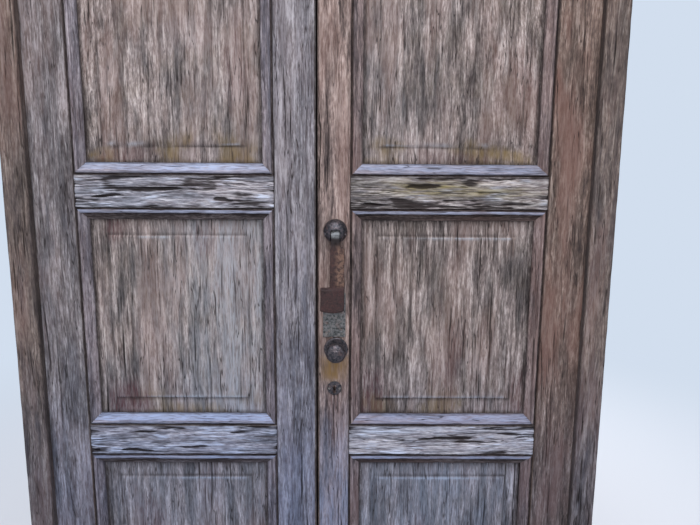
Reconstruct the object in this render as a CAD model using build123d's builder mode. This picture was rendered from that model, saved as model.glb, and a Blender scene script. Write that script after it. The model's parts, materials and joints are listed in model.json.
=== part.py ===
from build123d import *
import math
import os

os.makedirs("parts", exist_ok=True)

# An arched pair of panelled doors in its frame, in millimetres.
# X runs to the right as seen from outside, Y into the house, Z up. The origin is under the threshold,
# below the middle of the opening, in the plane of the leaves' outer faces.

# Frame
opening_half_width = 620
spring_height = 1780
frame_face = 55
lip_overlap = 12
lip_thickness = 23
lip_chamfer = 6
lip_gap = 2
edge_gap = 3
frame_tenon_thickness = 14
frame_tenon_width = 22
head_tenon_length = 45
foot_tenon_length = 25
crown_tongue_length = 35

# Threshold
threshold_height = 40
threshold_front = 50
threshold_back = 80
threshold_nose = 26
stop_height = 14
bottom_gap = 5

# Wall fixings in the jambs: an outer and an inner pair of holes about one height
fixing_radius = 5.5
fixing_head_radius = 12
fixing_head_depth = 10
fixing_depth = 16
fixing_foot_margin = 110
fixing_spring_margin = 50
inner_fixing_spacing = 680

# Leaves
leaf_thickness = 45
hinge_stile_width = 104
meeting_reach = 86
meeting_line = 10
meeting_gap = 0.8
meeting_bevel = 2.2
rail_height = 75
bottom_rail_height = 160
panel_opening = 515
groove_depth = 14
tenon_length = 60
bottom_haunch = 25
head_shoulder = 28
joint_room = 0.2
mortise_room = 1
tenon_root = 1

# Panels
panel_recess = 16
panel_thickness = 14
panel_room = 2
field_margin = 36
field_rise = 4
field_taper = 50

# Planted mouldings
moulding_width = 26
mitre_gap = 0.3
mitre_overrun = 2
quirk_width = 3
quirk_depth = 4
bead_width = 8
bead_rise = 1
bead_drop = 1.5
bead_step = 2
sight_edge = 3.5

# Pegs
peg_radius = 5
peg_front = 8
peg_setback = 25
bottom_peg_spacing = 70

# Butt hinges, with their plates on the inner faces
low_hinge_rise = 215
top_hinge_drop = 140
hinge_height = 140
hinge_knuckles = 5
knuckle_radius = 6.5
knuckle_gap = 0.4
knuckle_clearance = 0.3
hinge_plate_thickness = 3
frame_plate_width = 30
leaf_plate_width = 38
plate_setback = 8
pin_radius = 3.5
pin_room = 0.05
pin_head_radius = 5.5
pin_head_height = 4

# Screws
screw_radius = 2
screw_length = 28
screw_head_radius = 4
screw_head_height = 1.8
screw_room = 0.1
hinge_screw_spacing = 50
hinge_screw_stagger = 6

# Knocker on the right leaf
furniture_x = 50
boss_x = 52
boss_radius = 27
boss_depth = 32
boss_base = 5
boss_drop = 48
pivot_drop = 4
pivot_depth = 17
eye_radius = 8
eye_width = 20
eye_side_room = 0.4
knocker_pin_radius = 4
knocker_pin_length = 36
arm_width = 33
arm_thickness = 10
arm_neck_drop = 4
arm_flare = 8
hammer_right = 73
hammer_width = 55
hammer_thickness = 23
hammer_drop = 128
hammer_height = 57
hammer_crown = 5
hammer_chamfer = 3
arm_back = 13
hammer_back = 10

# Strike plate, knob and escutcheon
strike_width = 52
strike_lap = 42
strike_height = 105
strike_thickness = 3
stud_radius = 9
strike_pin_inset = 8
knob_x = 54
knob_drop = 29
rose_radius = 28
rose_thickness = 4
rose_chamfer = 2
knob_radius = 23
knob_length = 50
knob_shoulder = 21
knob_bulge = 34
knob_nose = 48
neck_radius = 9
neck_room = 0.3
keyhole_drop = 96
keyhole_x = 51
keyhole_radius = 4.5
keyhole_slot_width = 5.6
keyhole_eye_rise = 4
keyhole_slot_drop = 13
escutcheon_radius = 17
escutcheon_thickness = 3
escutcheon_chamfer = 1.5
tack_radius = 1.5
tack_head_radius = 2.6
tack_head_height = 1
tack_length = 14
tack_inset = 4.5
bolt_shank_radius = 5
nut_width = 17
nut_thickness = 8
shank_end = 3

# Rim lock on the right leaf and its keeper on the left leaf
case_x = 14
case_width = 100
case_height = 140
case_depth = 30
case_wall = 2.5
backplate_thickness = 2
bolt_thickness = 14
bolt_height = 28
bolt_rise = 10
bolt_gap = 0.3
bolt_head_length = 38
bolt_tail_thickness = 6
bolt_tail_inset = 2
bolt_end_room = 6
bolt_throw = 22
stump_x = 74
stump_radius = 3
talon_x = 56
talon_width = 12
talon_depth = 4
case_screw_inset = 10
case_screw_spread = 44
spring_thickness = 1.2
spring_foot = 10
spring_lift = 12
spring_setback = 2
keeper_width = 40
keeper_setback = 3.6
keeper_wall = 6
keeper_room = 1
keeper_pocket = 26
keeper_depth = 28
keeper_flange = 20

# Top and bottom bolts on the left leaf
rod_x = -55
rod_radius = 5.5
rod_room = 0.08
rod_offset = 12
rod_throw = 25
rod_tail = 22
top_bracket_drops = (680, 360, 15)
bottom_bracket_rises = (15, 255)
bracket_width = 22
bracket_height = 16
bracket_depth = 22
bracket_flange = 12
bracket_plate = 3
collar_radius = 9
collar_height = 12
handle_radius = 6
handle_length = 26
rod_end_room = 3
rod_keeper_height = 30
rod_keeper_rise = 3
rod_keeper_room = 1
socket_depth = 28
floor_keeper_thickness = 3
floor_keeper_width = 54
floor_keeper_reach = 24

# Worked out from the sizes above
leaf_radius = opening_half_width + lip_overlap
rebate_radius = leaf_radius + edge_gap
frame_radius = opening_half_width + frame_face
lip_back = -lip_gap
lip_front = lip_back - lip_thickness
leaf_bottom = threshold_height + bottom_gap
stile_edge = leaf_radius - hinge_stile_width
bottom_rail_top = leaf_bottom + bottom_rail_height
lower_rail_bottom = bottom_rail_top + panel_opening
lower_rail_top = lower_rail_bottom + rail_height
upper_rail_bottom = lower_rail_top + panel_opening
upper_rail_top = upper_rail_bottom + rail_height
panel_back = panel_recess + panel_thickness
tongue = groove_depth - panel_room
left_edge = meeting_line - meeting_gap / 2
right_edge = meeting_line + meeting_gap / 2
frame_wood_middle = (rebate_radius + frame_radius) / 2
frame_tenon_back = (lip_back + leaf_thickness + frame_tenon_thickness) / 2
pin_x = -(leaf_radius + rebate_radius) / 2
pin_y = leaf_thickness + knuckle_radius + knuckle_clearance
plate_face = leaf_thickness + hinge_plate_thickness

low_hinge = leaf_bottom + low_hinge_rise
top_hinge = spring_height - top_hinge_drop
hinge_heights = (low_hinge, (low_hinge + top_hinge) / 2, top_hinge)
low_fixing = threshold_height + fixing_foot_margin
top_fixing = spring_height - fixing_spring_margin
fixing_middle = (low_fixing + top_fixing) / 2
outer_fixing_spacing = top_fixing - low_fixing
boss_height = upper_rail_bottom - boss_drop
hammer_top = boss_height - hammer_drop
hammer_bottom = hammer_top - hammer_height
strike_top = hammer_bottom + strike_lap
strike_bottom = strike_top - strike_height
knob_height = strike_bottom - knob_drop
keyhole_height = knob_height - keyhole_drop

low = (Align.CENTER, Align.CENTER, Align.MIN)
cut_past = 1
arch_axis = Axis((0, 0, spring_height), (0, 1, 0))


def block(corner, opposite, mode=Mode.ADD):
    # A box between two corners.
    size = [b - a for a, b in zip(corner, opposite)]
    middle = [(a + b) / 2 for a, b in zip(corner, opposite)]
    with Locations(tuple(middle)):
        Box(*size, mode=mode)


def bore(points, radius, y_front, y_back, mode=Mode.SUBTRACT):
    # Round holes, or round pegs with Mode.ADD, along Y at each (x, z).
    with Locations(*[Location((x, y_back, z), (90, 0, 0)) for x, z in points]):
        Cylinder(radius, y_back - y_front, align=low, mode=mode)


def arch_height(radius, x):
    # The height at which an arc about the middle of the springing line passes x.
    return spring_height + math.sqrt(radius**2 - x**2)


def arch_angle(radius, x):
    return math.degrees(math.acos(x / radius))


def write(piece, node):
    piece.part.label = node
    export_step(piece.part, f"parts/{node}.step")


# Frame. Each piece is drawn for the left-hand side, and the right-hand one is its mirror image.
def frame_section(plane):
    # The rebated section: a chamfered lip in front, and the rebate that the leaf closes into.
    with BuildSketch(plane) as section:
        with BuildLine():
            Polyline(
                (-frame_radius, lip_front),
                (-opening_half_width - lip_chamfer, lip_front),
                (-opening_half_width, lip_front + lip_chamfer),
                (-opening_half_width, lip_back),
                (-rebate_radius, lip_back),
                (-rebate_radius, leaf_thickness),
                (-frame_radius, leaf_thickness),
                close=True,
            )
        make_face()
    return section.sketch


def frame_tenon(z_from, z_to, room=0.0, mode=Mode.ADD):
    # A tenon in the middle of the frame's thickness, or with room the mortise for it.
    half = frame_tenon_width / 2 + room
    block(
        (-frame_wood_middle - half, frame_tenon_back - frame_tenon_thickness - room, z_from),
        (-frame_wood_middle + half, frame_tenon_back + room, z_to),
        mode,
    )


def hinge_screw_points(offset):
    # Three staggered screws to a plate; offset is the plate middle's distance from the hinge pin.
    points = []
    for height in hinge_heights:
        for step in (-1, 0, 1):
            shift = hinge_screw_stagger if step == 0 else -hinge_screw_stagger
            points.append((pin_x + offset + shift, height + step * hinge_screw_spacing))
    return points


frame_screw_points = hinge_screw_points(-plate_setback - frame_plate_width / 2)
leaf_screw_points = hinge_screw_points(plate_setback + leaf_plate_width / 2)
frame_peg_height = spring_height + head_tenon_length / 2


def make_jamb(node, mirrored):
    section = frame_section(Plane.XY.offset(threshold_height))
    with BuildPart() as jamb:
        extrude(section, amount=spring_height - threshold_height)
        frame_tenon(threshold_height - foot_tenon_length, threshold_height)
        frame_tenon(spring_height, spring_height + head_tenon_length)
        bore([(-frame_wood_middle, frame_peg_height)], peg_radius + joint_room, lip_back, leaf_thickness)
        bore(frame_screw_points, screw_radius + screw_room, plate_face - screw_length, leaf_thickness)
        for spacing in (outer_fixing_spacing, inner_fixing_spacing):
            for height in (fixing_middle - spacing / 2, fixing_middle + spacing / 2):
                with Locations(Location((-frame_radius, fixing_depth, height), (0, 90, 0))):
                    Cylinder(fixing_radius, frame_radius - rebate_radius, align=low, mode=Mode.SUBTRACT)
                head_floor = -rebate_radius - fixing_head_depth
                with Locations(Location((head_floor, fixing_depth, height), (0, 90, 0))):
                    Cylinder(fixing_head_radius, fixing_head_depth, align=low, mode=Mode.SUBTRACT)
        if mirrored:
            mirror(about=Plane.YZ, mode=Mode.REPLACE)
    write(jamb, node)


def crown_tongue(x_from, x_to, room=0.0, mode=Mode.ADD):
    half = frame_tenon_width / 2 + room
    block(
        (x_from, frame_tenon_back - frame_tenon_thickness - room, spring_height + frame_wood_middle - half),
        (x_to, frame_tenon_back + room, spring_height + frame_wood_middle + half),
        mode,
    )


crown_peg = (crown_tongue_length / 2, spring_height + frame_wood_middle)
rod_keeper_bottom = arch_height(rebate_radius, rod_x) + rod_keeper_rise
top_brackets = [arch_height(leaf_radius, rod_x) - drop for drop in top_bracket_drops]
bottom_brackets = [leaf_bottom + rise for rise in bottom_bracket_rises]
rod_y = leaf_thickness + rod_offset
bracket_half = bracket_width / 2 + bracket_flange
bracket_screw = bracket_half - bracket_flange / 2
rod_keeper_screws = [
    (rod_x + side * bracket_screw, rod_keeper_bottom + rod_keeper_height / 2) for side in (-1, 1)
]


def make_arch_head(node, mirrored):
    section = frame_section(Plane.XY.offset(spring_height))
    with BuildPart() as head:
        revolve(section, axis=arch_axis, revolution_arc=90)
        frame_tenon(spring_height, spring_height + head_tenon_length + mortise_room, joint_room, Mode.SUBTRACT)
        bore([(-frame_wood_middle, frame_peg_height)], peg_radius + joint_room, peg_front, leaf_thickness)
        if mirrored:
            crown_tongue(-crown_tongue_length - mortise_room, 0, joint_room, Mode.SUBTRACT)
            bore([(-crown_peg[0], crown_peg[1])], peg_radius + joint_room, peg_front, leaf_thickness)
            mirror(about=Plane.YZ, mode=Mode.REPLACE)
        else:
            crown_tongue(-tenon_root, crown_tongue_length)
            bore([crown_peg], peg_radius + joint_room, lip_back, leaf_thickness)
            bore(
                rod_keeper_screws,
                screw_radius + screw_room,
                leaf_thickness + bracket_plate - screw_length,
                leaf_thickness,
            )
    write(head, node)


for side in ("left", "right"):
    make_jamb(f"{side}_jamb", side == "right")
    make_arch_head(f"{side}_arch_head", side == "right")

floor_keeper_top = threshold_height
floor_keeper_low = threshold_height - floor_keeper_thickness
floor_keeper_screw = floor_keeper_width / 2 - bracket_flange / 2
floor_keeper_screws = [(rod_x + step * floor_keeper_screw, rod_y) for step in (-1, 1)]

with BuildPart() as threshold:
    with BuildSketch(Plane.YZ.offset(-frame_radius)):
        with BuildLine():
            Polyline(
                (-threshold_front, 0),
                (threshold_back, 0),
                (threshold_back, threshold_height),
                (lip_back, threshold_height),
                (lip_back, threshold_height + stop_height),
                (lip_front, threshold_height + stop_height),
                (lip_front, threshold_height),
                (-threshold_front, threshold_nose),
                close=True,
            )
        make_face()
    extrude(amount=2 * frame_radius)
    for side in (-1, 1):
        # The stop ends between the jambs' lips, and the jambs' feet are let in.
        block(
            (min(side * opening_half_width, side * frame_radius), lip_front, threshold_height),
            (max(side * opening_half_width, side * frame_radius), lip_back, threshold_height + stop_height),
            Mode.SUBTRACT,
        )
        half = frame_tenon_width / 2 + joint_room
        block(
            (
                side * frame_wood_middle - half,
                frame_tenon_back - frame_tenon_thickness - joint_room,
                threshold_height - foot_tenon_length - mortise_room,
            ),
            (side * frame_wood_middle + half, frame_tenon_back + joint_room, threshold_height),
            Mode.SUBTRACT,
        )
    # The bottom bolt's socket and the sinking for its keeper plate.
    with Locations((rod_x, rod_y, threshold_height - socket_depth)):
        Cylinder(rod_radius + rod_keeper_room, socket_depth, align=low, mode=Mode.SUBTRACT)
    block(
        (rod_x - floor_keeper_width / 2, rod_y - floor_keeper_reach / 2, floor_keeper_low),
        (rod_x + floor_keeper_width / 2, rod_y + floor_keeper_reach / 2, floor_keeper_top),
        Mode.SUBTRACT,
    )
    with Locations(*[(x, y, threshold_height - tack_length) for x, y in floor_keeper_screws]):
        Cylinder(screw_radius + screw_room, tack_length, align=low, mode=Mode.SUBTRACT)
write(threshold, "threshold")

with BuildPart() as frame_pegs:
    bore(
        [(-frame_wood_middle, frame_peg_height), (frame_wood_middle, frame_peg_height), crown_peg],
        peg_radius,
        peg_front,
        leaf_thickness,
        Mode.ADD,
    )
write(frame_pegs, "frame_pegs")


# Leaves. Each piece is drawn for the left leaf, and the right leaf's is its mirror image.
bottom_tenon = (leaf_bottom + bottom_haunch, bottom_rail_top - groove_depth)
lower_tenon = (lower_rail_bottom + groove_depth, lower_rail_top - groove_depth)
upper_tenon = (upper_rail_bottom + groove_depth, upper_rail_top - groove_depth)
head_foot_tenon = (-leaf_radius + groove_depth, -stile_edge - groove_depth - head_shoulder)
arch_joint_low = arch_height(stile_edge, -meeting_reach)
head_side_tenon = (arch_joint_low + head_shoulder, arch_height(leaf_radius, 0) - head_shoulder)
stile_tenons = (bottom_tenon, lower_tenon, upper_tenon)
tenon_front = panel_recess + joint_room
tenon_back = panel_back - joint_room
head_foot_middle = sum(head_foot_tenon) / 2


def peg_heights(tenon):
    # Two pegs in the deep bottom tenon, one in the others.
    middle = sum(tenon) / 2
    if tenon == bottom_tenon:
        return [middle - bottom_peg_spacing / 2, middle + bottom_peg_spacing / 2]
    return [middle]


def side_pegs(x, tenons):
    return [(x, height) for tenon in tenons for height in peg_heights(tenon)]


hinge_side_pegs = side_pegs(-stile_edge - peg_setback, stile_tenons)
meeting_side_pegs = side_pegs(-meeting_reach + peg_setback, (*stile_tenons, head_side_tenon))
foot_peg = (head_foot_middle, spring_height - peg_setback)


def make_hinge_stile(node, mirrored):
    with BuildPart() as stile:
        block((-leaf_radius, 0, leaf_bottom), (-stile_edge, leaf_thickness, spring_height))
        block(
            (-stile_edge - groove_depth, panel_recess, bottom_rail_top - groove_depth),
            (-stile_edge, panel_back, spring_height),
            Mode.SUBTRACT,
        )
        for bottom, top in stile_tenons:
            block(
                (-stile_edge - tenon_length - mortise_room, panel_recess, bottom - joint_room),
                (-stile_edge, panel_back, top + joint_room),
                Mode.SUBTRACT,
            )
        block(
            (head_foot_tenon[0] - joint_room, panel_recess, spring_height - tenon_length - mortise_room),
            (head_foot_tenon[1] + joint_room, panel_back, spring_height),
            Mode.SUBTRACT,
        )
        bore([*hinge_side_pegs, foot_peg], peg_radius + joint_room, peg_front, leaf_thickness)
        bore(leaf_screw_points, screw_radius + screw_room, plate_face - screw_length, leaf_thickness)
        if mirrored:
            mirror(about=Plane.YZ, mode=Mode.REPLACE)
    write(stile, node)


def make_meeting_stile(node, edge, mirrored, cut_furniture):
    with BuildPart() as stile:
        with BuildSketch(Plane.XZ):
            with BuildLine():
                start = (edge, arch_height(leaf_radius, edge))
                finish = (-meeting_reach, arch_height(leaf_radius, -meeting_reach))
                middle = ((edge - meeting_reach) / 2, arch_height(leaf_radius, (edge - meeting_reach) / 2))
                Polyline(finish, (-meeting_reach, leaf_bottom), (edge, leaf_bottom), start)
                ThreePointArc(start, middle, finish)
            make_face()
        extrude(amount=-leaf_thickness)
        block(
            (-meeting_reach, panel_recess, bottom_rail_top - groove_depth),
            (-meeting_reach + groove_depth, panel_back, arch_joint_low + groove_depth),
            Mode.SUBTRACT,
        )
        for bottom, top in (*stile_tenons, head_side_tenon):
            block(
                (-meeting_reach, panel_recess, bottom - joint_room),
                (-meeting_reach + tenon_length + mortise_room, panel_back, top + joint_room),
                Mode.SUBTRACT,
            )
        bore(meeting_side_pegs, peg_radius + joint_room, peg_front, leaf_thickness)
        # The meeting edge is planed back towards its outer face, so that the leaves clear as they swing.
        outside = edge + cut_past
        with BuildSketch(Plane.XY.offset(leaf_bottom - cut_past)):
            with BuildLine():
                Polyline(
                    (edge, leaf_thickness),
                    (edge - meeting_bevel, 0),
                    (outside, 0),
                    (outside, leaf_thickness),
                    close=True,
                )
            make_face()
        extrude(amount=spring_height + leaf_radius - leaf_bottom + 2 * cut_past, mode=Mode.SUBTRACT)
        if mirrored:
            mirror(about=Plane.YZ, mode=Mode.REPLACE)
        cut_furniture()
    write(stile, node)


def make_rail(node, mirrored, bottom, top, tenon, grooved_below):
    with BuildPart() as rail:
        block((-stile_edge, 0, bottom), (-meeting_reach, leaf_thickness, top))
        block(
            (-stile_edge - tenon_length, tenon_front, tenon[0]),
            (-meeting_reach + tenon_length, tenon_back, tenon[1]),
        )
        block(
            (-stile_edge, panel_recess, top - groove_depth),
            (-meeting_reach, panel_back, top),
            Mode.SUBTRACT,
        )
        if grooved_below:
            block(
                (-stile_edge, panel_recess, bottom),
                (-meeting_reach, panel_back, bottom + groove_depth),
                Mode.SUBTRACT,
            )
        ends = (-stile_edge - peg_setback, -meeting_reach + peg_setback)
        pegs = [(x, height) for x in ends for height in peg_heights(tenon)]
        bore(pegs, peg_radius + joint_room, peg_front, leaf_thickness)
        if mirrored:
            mirror(about=Plane.YZ, mode=Mode.REPLACE)
    write(rail, node)


def ring_sector(inner, outer):
    # The stretch of an arched band between the springing line and the meeting stile.
    with BuildSketch(Plane.XZ) as sector:
        with BuildLine():
            top = CenterArc((0, spring_height), outer, 180, arch_angle(outer, -meeting_reach) - 180)
            low_arc = CenterArc((0, spring_height), inner, 180, arch_angle(inner, -meeting_reach) - 180)
            Line(top @ 0, low_arc @ 0)
            Line(top @ 1, low_arc @ 1)
        make_face()
    return sector.sketch


def make_arched_rail(node, mirrored):
    face = ring_sector(stile_edge, leaf_radius)
    groove = ring_sector(stile_edge, stile_edge + groove_depth)
    with BuildPart() as rail:
        extrude(face, amount=-leaf_thickness)
        extrude(
            Pos(0, panel_recess, 0) * groove,
            amount=-panel_thickness,
            mode=Mode.SUBTRACT,
        )
        block(
            (head_foot_tenon[0], tenon_front, spring_height - tenon_length),
            (head_foot_tenon[1], tenon_back, spring_height + tenon_root),
        )
        block(
            (-meeting_reach - tenon_root, tenon_front, head_side_tenon[0]),
            (-meeting_reach + tenon_length, tenon_back, head_side_tenon[1]),
        )
        pegs = [foot_peg, (-meeting_reach + peg_setback, sum(head_side_tenon) / 2)]
        bore(pegs, peg_radius + joint_room, peg_front, leaf_thickness)
        if mirrored:
            mirror(about=Plane.YZ, mode=Mode.REPLACE)
    write(rail, node)


def straight_outline(inset, bottom, top):
    # A panel's outline, inset from the stiles' and rails' edges; a negative inset reaches into them.
    left, right = -stile_edge + inset, -meeting_reach - inset
    with BuildSketch() as outline:
        with Locations(((left + right) / 2, (bottom + top) / 2)):
            Rectangle(right - left, top - bottom - 2 * inset)
    return outline.sketch


def arched_outline(inset, bottom):
    # The top panel's outline: straight sides, and the arch over them.
    radius, right = stile_edge - inset, -meeting_reach - inset
    with BuildSketch() as outline:
        with BuildLine():
            arch = CenterArc((0, spring_height), radius, 180, arch_angle(radius, right) - 180)
            Polyline(arch @ 0, (-radius, bottom + inset), (right, bottom + inset), arch @ 1)
        make_face()
    return outline.sketch


def make_panel(node, mirrored, outline, field):
    with BuildPart() as panel:
        with BuildSketch(Plane.XZ.offset(-panel_back)):
            add(outline)
        extrude(amount=panel_thickness)
        with BuildSketch(Plane.XZ.offset(-panel_recess)):
            add(field)
        extrude(amount=field_rise, taper=field_taper)
        if mirrored:
            mirror(about=Plane.YZ, mode=Mode.REPLACE)
    write(panel, node)


# The moulding's section: a quirk beside the stile, a bead, and a slope down to the panel.
bead_end = quirk_width + bead_width
with BuildSketch() as moulding_section:
    with BuildLine():
        ThreePointArc(
            (quirk_width, -bead_drop),
            (quirk_width + bead_width / 2, bead_rise),
            (bead_end, -bead_drop),
        )
        Polyline(
            (bead_end, -bead_drop),
            (bead_end, -bead_drop - bead_step),
            (moulding_width, sight_edge - panel_recess),
            (moulding_width, -panel_recess),
            (0, -panel_recess),
            (0, -quirk_depth),
            (quirk_width, -quirk_depth),
            (quirk_width, -bead_drop),
        )
    make_face()


def corner_cut(corner, forward, keep_forward):
    # The plane that cuts a strip at a mitre, set back by half the gap that has opened there.
    normal = forward.normalized() * (1 if keep_forward else -1)
    return Plane(origin=corner + normal * (mitre_gap / 2), z_dir=normal)


def make_strip(start, end, inward, cuts):
    along = end - start
    with BuildPart() as strip:
        with BuildSketch(Plane(origin=start, x_dir=inward, z_dir=along)):
            add(moulding_section.sketch)
        extrude(amount=along.length)
        for plane in cuts:
            split(bisect_by=plane, keep=Keep.TOP)
    return strip.part


def straight_strips(bottom, top):
    # Four mitred strips, taken anticlockwise as seen from outside.
    corners = [
        Vector(x, 0, z)
        for x, z in (
            (-stile_edge, bottom),
            (-meeting_reach, bottom),
            (-meeting_reach, top),
            (-stile_edge, top),
        )
    ]
    strips = []
    for i, start in enumerate(corners):
        end = corners[(i + 1) % 4]
        before = (start - corners[i - 1]).normalized()
        along = (end - start).normalized()
        after = (corners[(i + 2) % 4] - end).normalized()
        inward = Vector(-along.Z, 0, along.X)
        cuts = [corner_cut(start, before + along, True), corner_cut(end, along + after, False)]
        strips.append(make_strip(start, end, inward, cuts))
    return strips


def arched_strips(bottom):
    # Three straight strips and the arched one, which butts on the hinge side's at the springing line.
    up, across = Vector(0, 0, 1), Vector(1, 0, 0)
    foot = Vector(-stile_edge, 0, bottom)
    meeting_foot = Vector(-meeting_reach, 0, bottom)
    meeting_head = Vector(-meeting_reach, 0, arch_joint_low)
    spring = Vector(-stile_edge, 0, spring_height)
    sight_x = -meeting_reach - moulding_width
    sight_head = Vector(sight_x, 0, arch_height(stile_edge - moulding_width, sight_x))
    mitre = sight_head - meeting_head
    forward = Vector(mitre.Z, 0, -mitre.X)
    straight = [
        make_strip(
            foot,
            meeting_foot,
            up,
            [corner_cut(foot, across - up, True), corner_cut(meeting_foot, across + up, False)],
        ),
        make_strip(
            meeting_foot,
            meeting_head,
            -across,
            [corner_cut(meeting_foot, across + up, True), corner_cut(meeting_head, forward, False)],
        ),
        make_strip(spring - up * mitre_gap, foot, across, [corner_cut(foot, across - up, False)]),
    ]
    turn = 180 - arch_angle(stile_edge, -meeting_reach)
    with BuildPart() as arch:
        with BuildSketch(Plane(origin=spring, x_dir=across, z_dir=-up)):
            add(moulding_section.sketch)
        revolve(axis=arch_axis, revolution_arc=turn + mitre_overrun)
        split(bisect_by=corner_cut(meeting_head, forward, True), keep=Keep.TOP)
    return [*straight, arch.part]


def make_moulding(node, mirrored, strips):
    with BuildPart() as moulding:
        add(strips)
        if mirrored:
            mirror(about=Plane.YZ, mode=Mode.REPLACE)
    write(moulding, node)


def make_leaf_pegs(node, mirrored):
    with BuildPart() as pegs:
        points = [*hinge_side_pegs, *meeting_side_pegs, foot_peg]
        bore(points, peg_radius, peg_front, leaf_thickness, Mode.ADD)
        if mirrored:
            mirror(about=Plane.YZ, mode=Mode.REPLACE)
    write(pegs, node)


# Door furniture: places that the stiles, the plates and the screws share.
bolt_middle = keyhole_height + bolt_rise + bolt_height / 2
case_bottom = keyhole_height - case_height / 2
case_top = case_bottom + case_height
case_back = leaf_thickness + backplate_thickness
case_face = case_back + case_depth
case_right = case_x + case_width
bolt_front = case_back + (case_depth - bolt_thickness) / 2
bolt_back = bolt_front + bolt_thickness
case_screws = [
    (case_x + case_screw_inset + dx, z)
    for dx in (0, case_screw_spread)
    for z in (case_bottom + case_screw_inset, case_top - case_screw_inset)
]
keeper_right = left_edge - keeper_setback
keeper_left = keeper_right - keeper_width
keeper_half = bolt_height / 2 + keeper_room + keeper_wall
keeper_screws = [
    ((keeper_left + keeper_right) / 2, bolt_middle + side * (keeper_half + keeper_flange / 2))
    for side in (-1, 1)
]
bracket_screws = [
    (rod_x + side * bracket_screw, height)
    for height in (*top_brackets, *bottom_brackets)
    for side in (-1, 1)
]
strike_x = furniture_x
strike_tacks = [
    (strike_x + dx * (strike_width / 2 - strike_pin_inset), z)
    for dx in (-1, 1)
    for z in (strike_bottom + strike_pin_inset, strike_top - strike_pin_inset)
]
escutcheon_tacks = [
    (keyhole_x + side * (escutcheon_radius - tack_inset), keyhole_height) for side in (-1, 1)
]
shank_points = [(boss_x, boss_height), (knob_x, knob_height)]
nut_face = leaf_thickness + nut_thickness


def keyhole(y_front, y_back):
    # The round eye of the keyhole and the slot below it.
    eye = keyhole_height + keyhole_eye_rise
    bore([(keyhole_x, eye)], keyhole_radius, y_front, y_back)
    block(
        (keyhole_x - keyhole_slot_width / 2, y_front, keyhole_height - keyhole_slot_drop),
        (keyhole_x + keyhole_slot_width / 2, y_back, eye),
        Mode.SUBTRACT,
    )


def cut_left_furniture():
    points = [*keeper_screws, *bracket_screws]
    bore(points, screw_radius + screw_room, plate_face - screw_length, leaf_thickness)


def cut_right_furniture():
    bore(shank_points, bolt_shank_radius + joint_room, 0, leaf_thickness)
    bore(strike_tacks, tack_radius + screw_room, 0, tack_length)
    bore(escutcheon_tacks, tack_radius + screw_room, 0, tack_length)
    bore(case_screws, screw_radius + screw_room, leaf_thickness - screw_length, leaf_thickness)
    keyhole(0, leaf_thickness)


for side in ("left", "right"):
    mirrored = side == "right"
    make_hinge_stile(f"{side}_hinge_stile", mirrored)
    edge = -right_edge if mirrored else left_edge
    cut_furniture = cut_right_furniture if mirrored else cut_left_furniture
    make_meeting_stile(f"{side}_meeting_stile", edge, mirrored, cut_furniture)
    make_rail(f"{side}_bottom_rail", mirrored, leaf_bottom, bottom_rail_top, bottom_tenon, False)
    make_rail(f"{side}_lower_rail", mirrored, lower_rail_bottom, lower_rail_top, lower_tenon, True)
    make_rail(f"{side}_upper_rail", mirrored, upper_rail_bottom, upper_rail_top, upper_tenon, True)
    make_arched_rail(f"{side}_arched_rail", mirrored)
    field_inset = moulding_width + field_margin
    for row, bottom in (("bottom", bottom_rail_top), ("middle", lower_rail_top)):
        top = bottom + panel_opening
        outline = straight_outline(-tongue, bottom, top)
        field = straight_outline(field_inset, bottom, top)
        make_panel(f"{side}_{row}_panel", mirrored, outline, field)
        make_moulding(f"{side}_{row}_moulding", mirrored, straight_strips(bottom, top))
    make_panel(
        f"{side}_top_panel",
        mirrored,
        arched_outline(-tongue, upper_rail_top),
        arched_outline(field_inset, upper_rail_top),
    )
    make_moulding(f"{side}_top_moulding", mirrored, arched_strips(upper_rail_top))
    make_leaf_pegs(f"{side}_leaf_pegs", mirrored)


# Hinges
def make_hinge_plates(node, mirrored, turns, direction, width, screws):
    # turns are the knuckles, counted from below, that belong to this plate.
    pitch = hinge_height / hinge_knuckles
    near, far = pin_x + direction * plate_setback, pin_x + direction * (plate_setback + width)
    with BuildPart() as plates:
        for height in hinge_heights:
            foot = height - hinge_height / 2
            block(
                (min(near, far), leaf_thickness, foot),
                (max(near, far), plate_face, foot + hinge_height),
            )
            for turn in turns:
                bottom = foot + turn * pitch + knuckle_gap / 2
                block(
                    (min(near, pin_x), leaf_thickness, bottom),
                    (max(near, pin_x), plate_face, bottom + pitch - knuckle_gap),
                )
                with Locations((pin_x, pin_y, bottom)):
                    Cylinder(knuckle_radius, pitch - knuckle_gap, align=low)
            with Locations((pin_x, pin_y, foot)):
                Cylinder(pin_radius + pin_room, hinge_height, align=low, mode=Mode.SUBTRACT)
        bore(screws, screw_radius + screw_room, leaf_thickness, plate_face)
        if mirrored:
            mirror(about=Plane.YZ, mode=Mode.REPLACE)
    write(plates, node)


def make_hinge_pins(node, mirrored):
    with BuildPart() as pins:
        for height in hinge_heights:
            foot = height - hinge_height / 2 + knuckle_gap / 2
            head = height + hinge_height / 2 - knuckle_gap / 2
            with Locations((pin_x, pin_y, foot)):
                Cylinder(pin_radius, head - foot, align=low)
            with Locations((pin_x, pin_y, head)):
                Cylinder(pin_head_radius, pin_head_height, align=low)
        if mirrored:
            mirror(about=Plane.YZ, mode=Mode.REPLACE)
    write(pins, node)


for side in ("left", "right"):
    mirrored = side == "right"
    make_hinge_plates(
        f"{side}_hinge_frame_plates", mirrored, (0, 2, 4), -1, frame_plate_width, frame_screw_points
    )
    make_hinge_plates(
        f"{side}_hinge_leaf_plates", mirrored, (1, 3), 1, leaf_plate_width, leaf_screw_points
    )
    make_hinge_pins(f"{side}_hinge_pins", mirrored)

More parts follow.
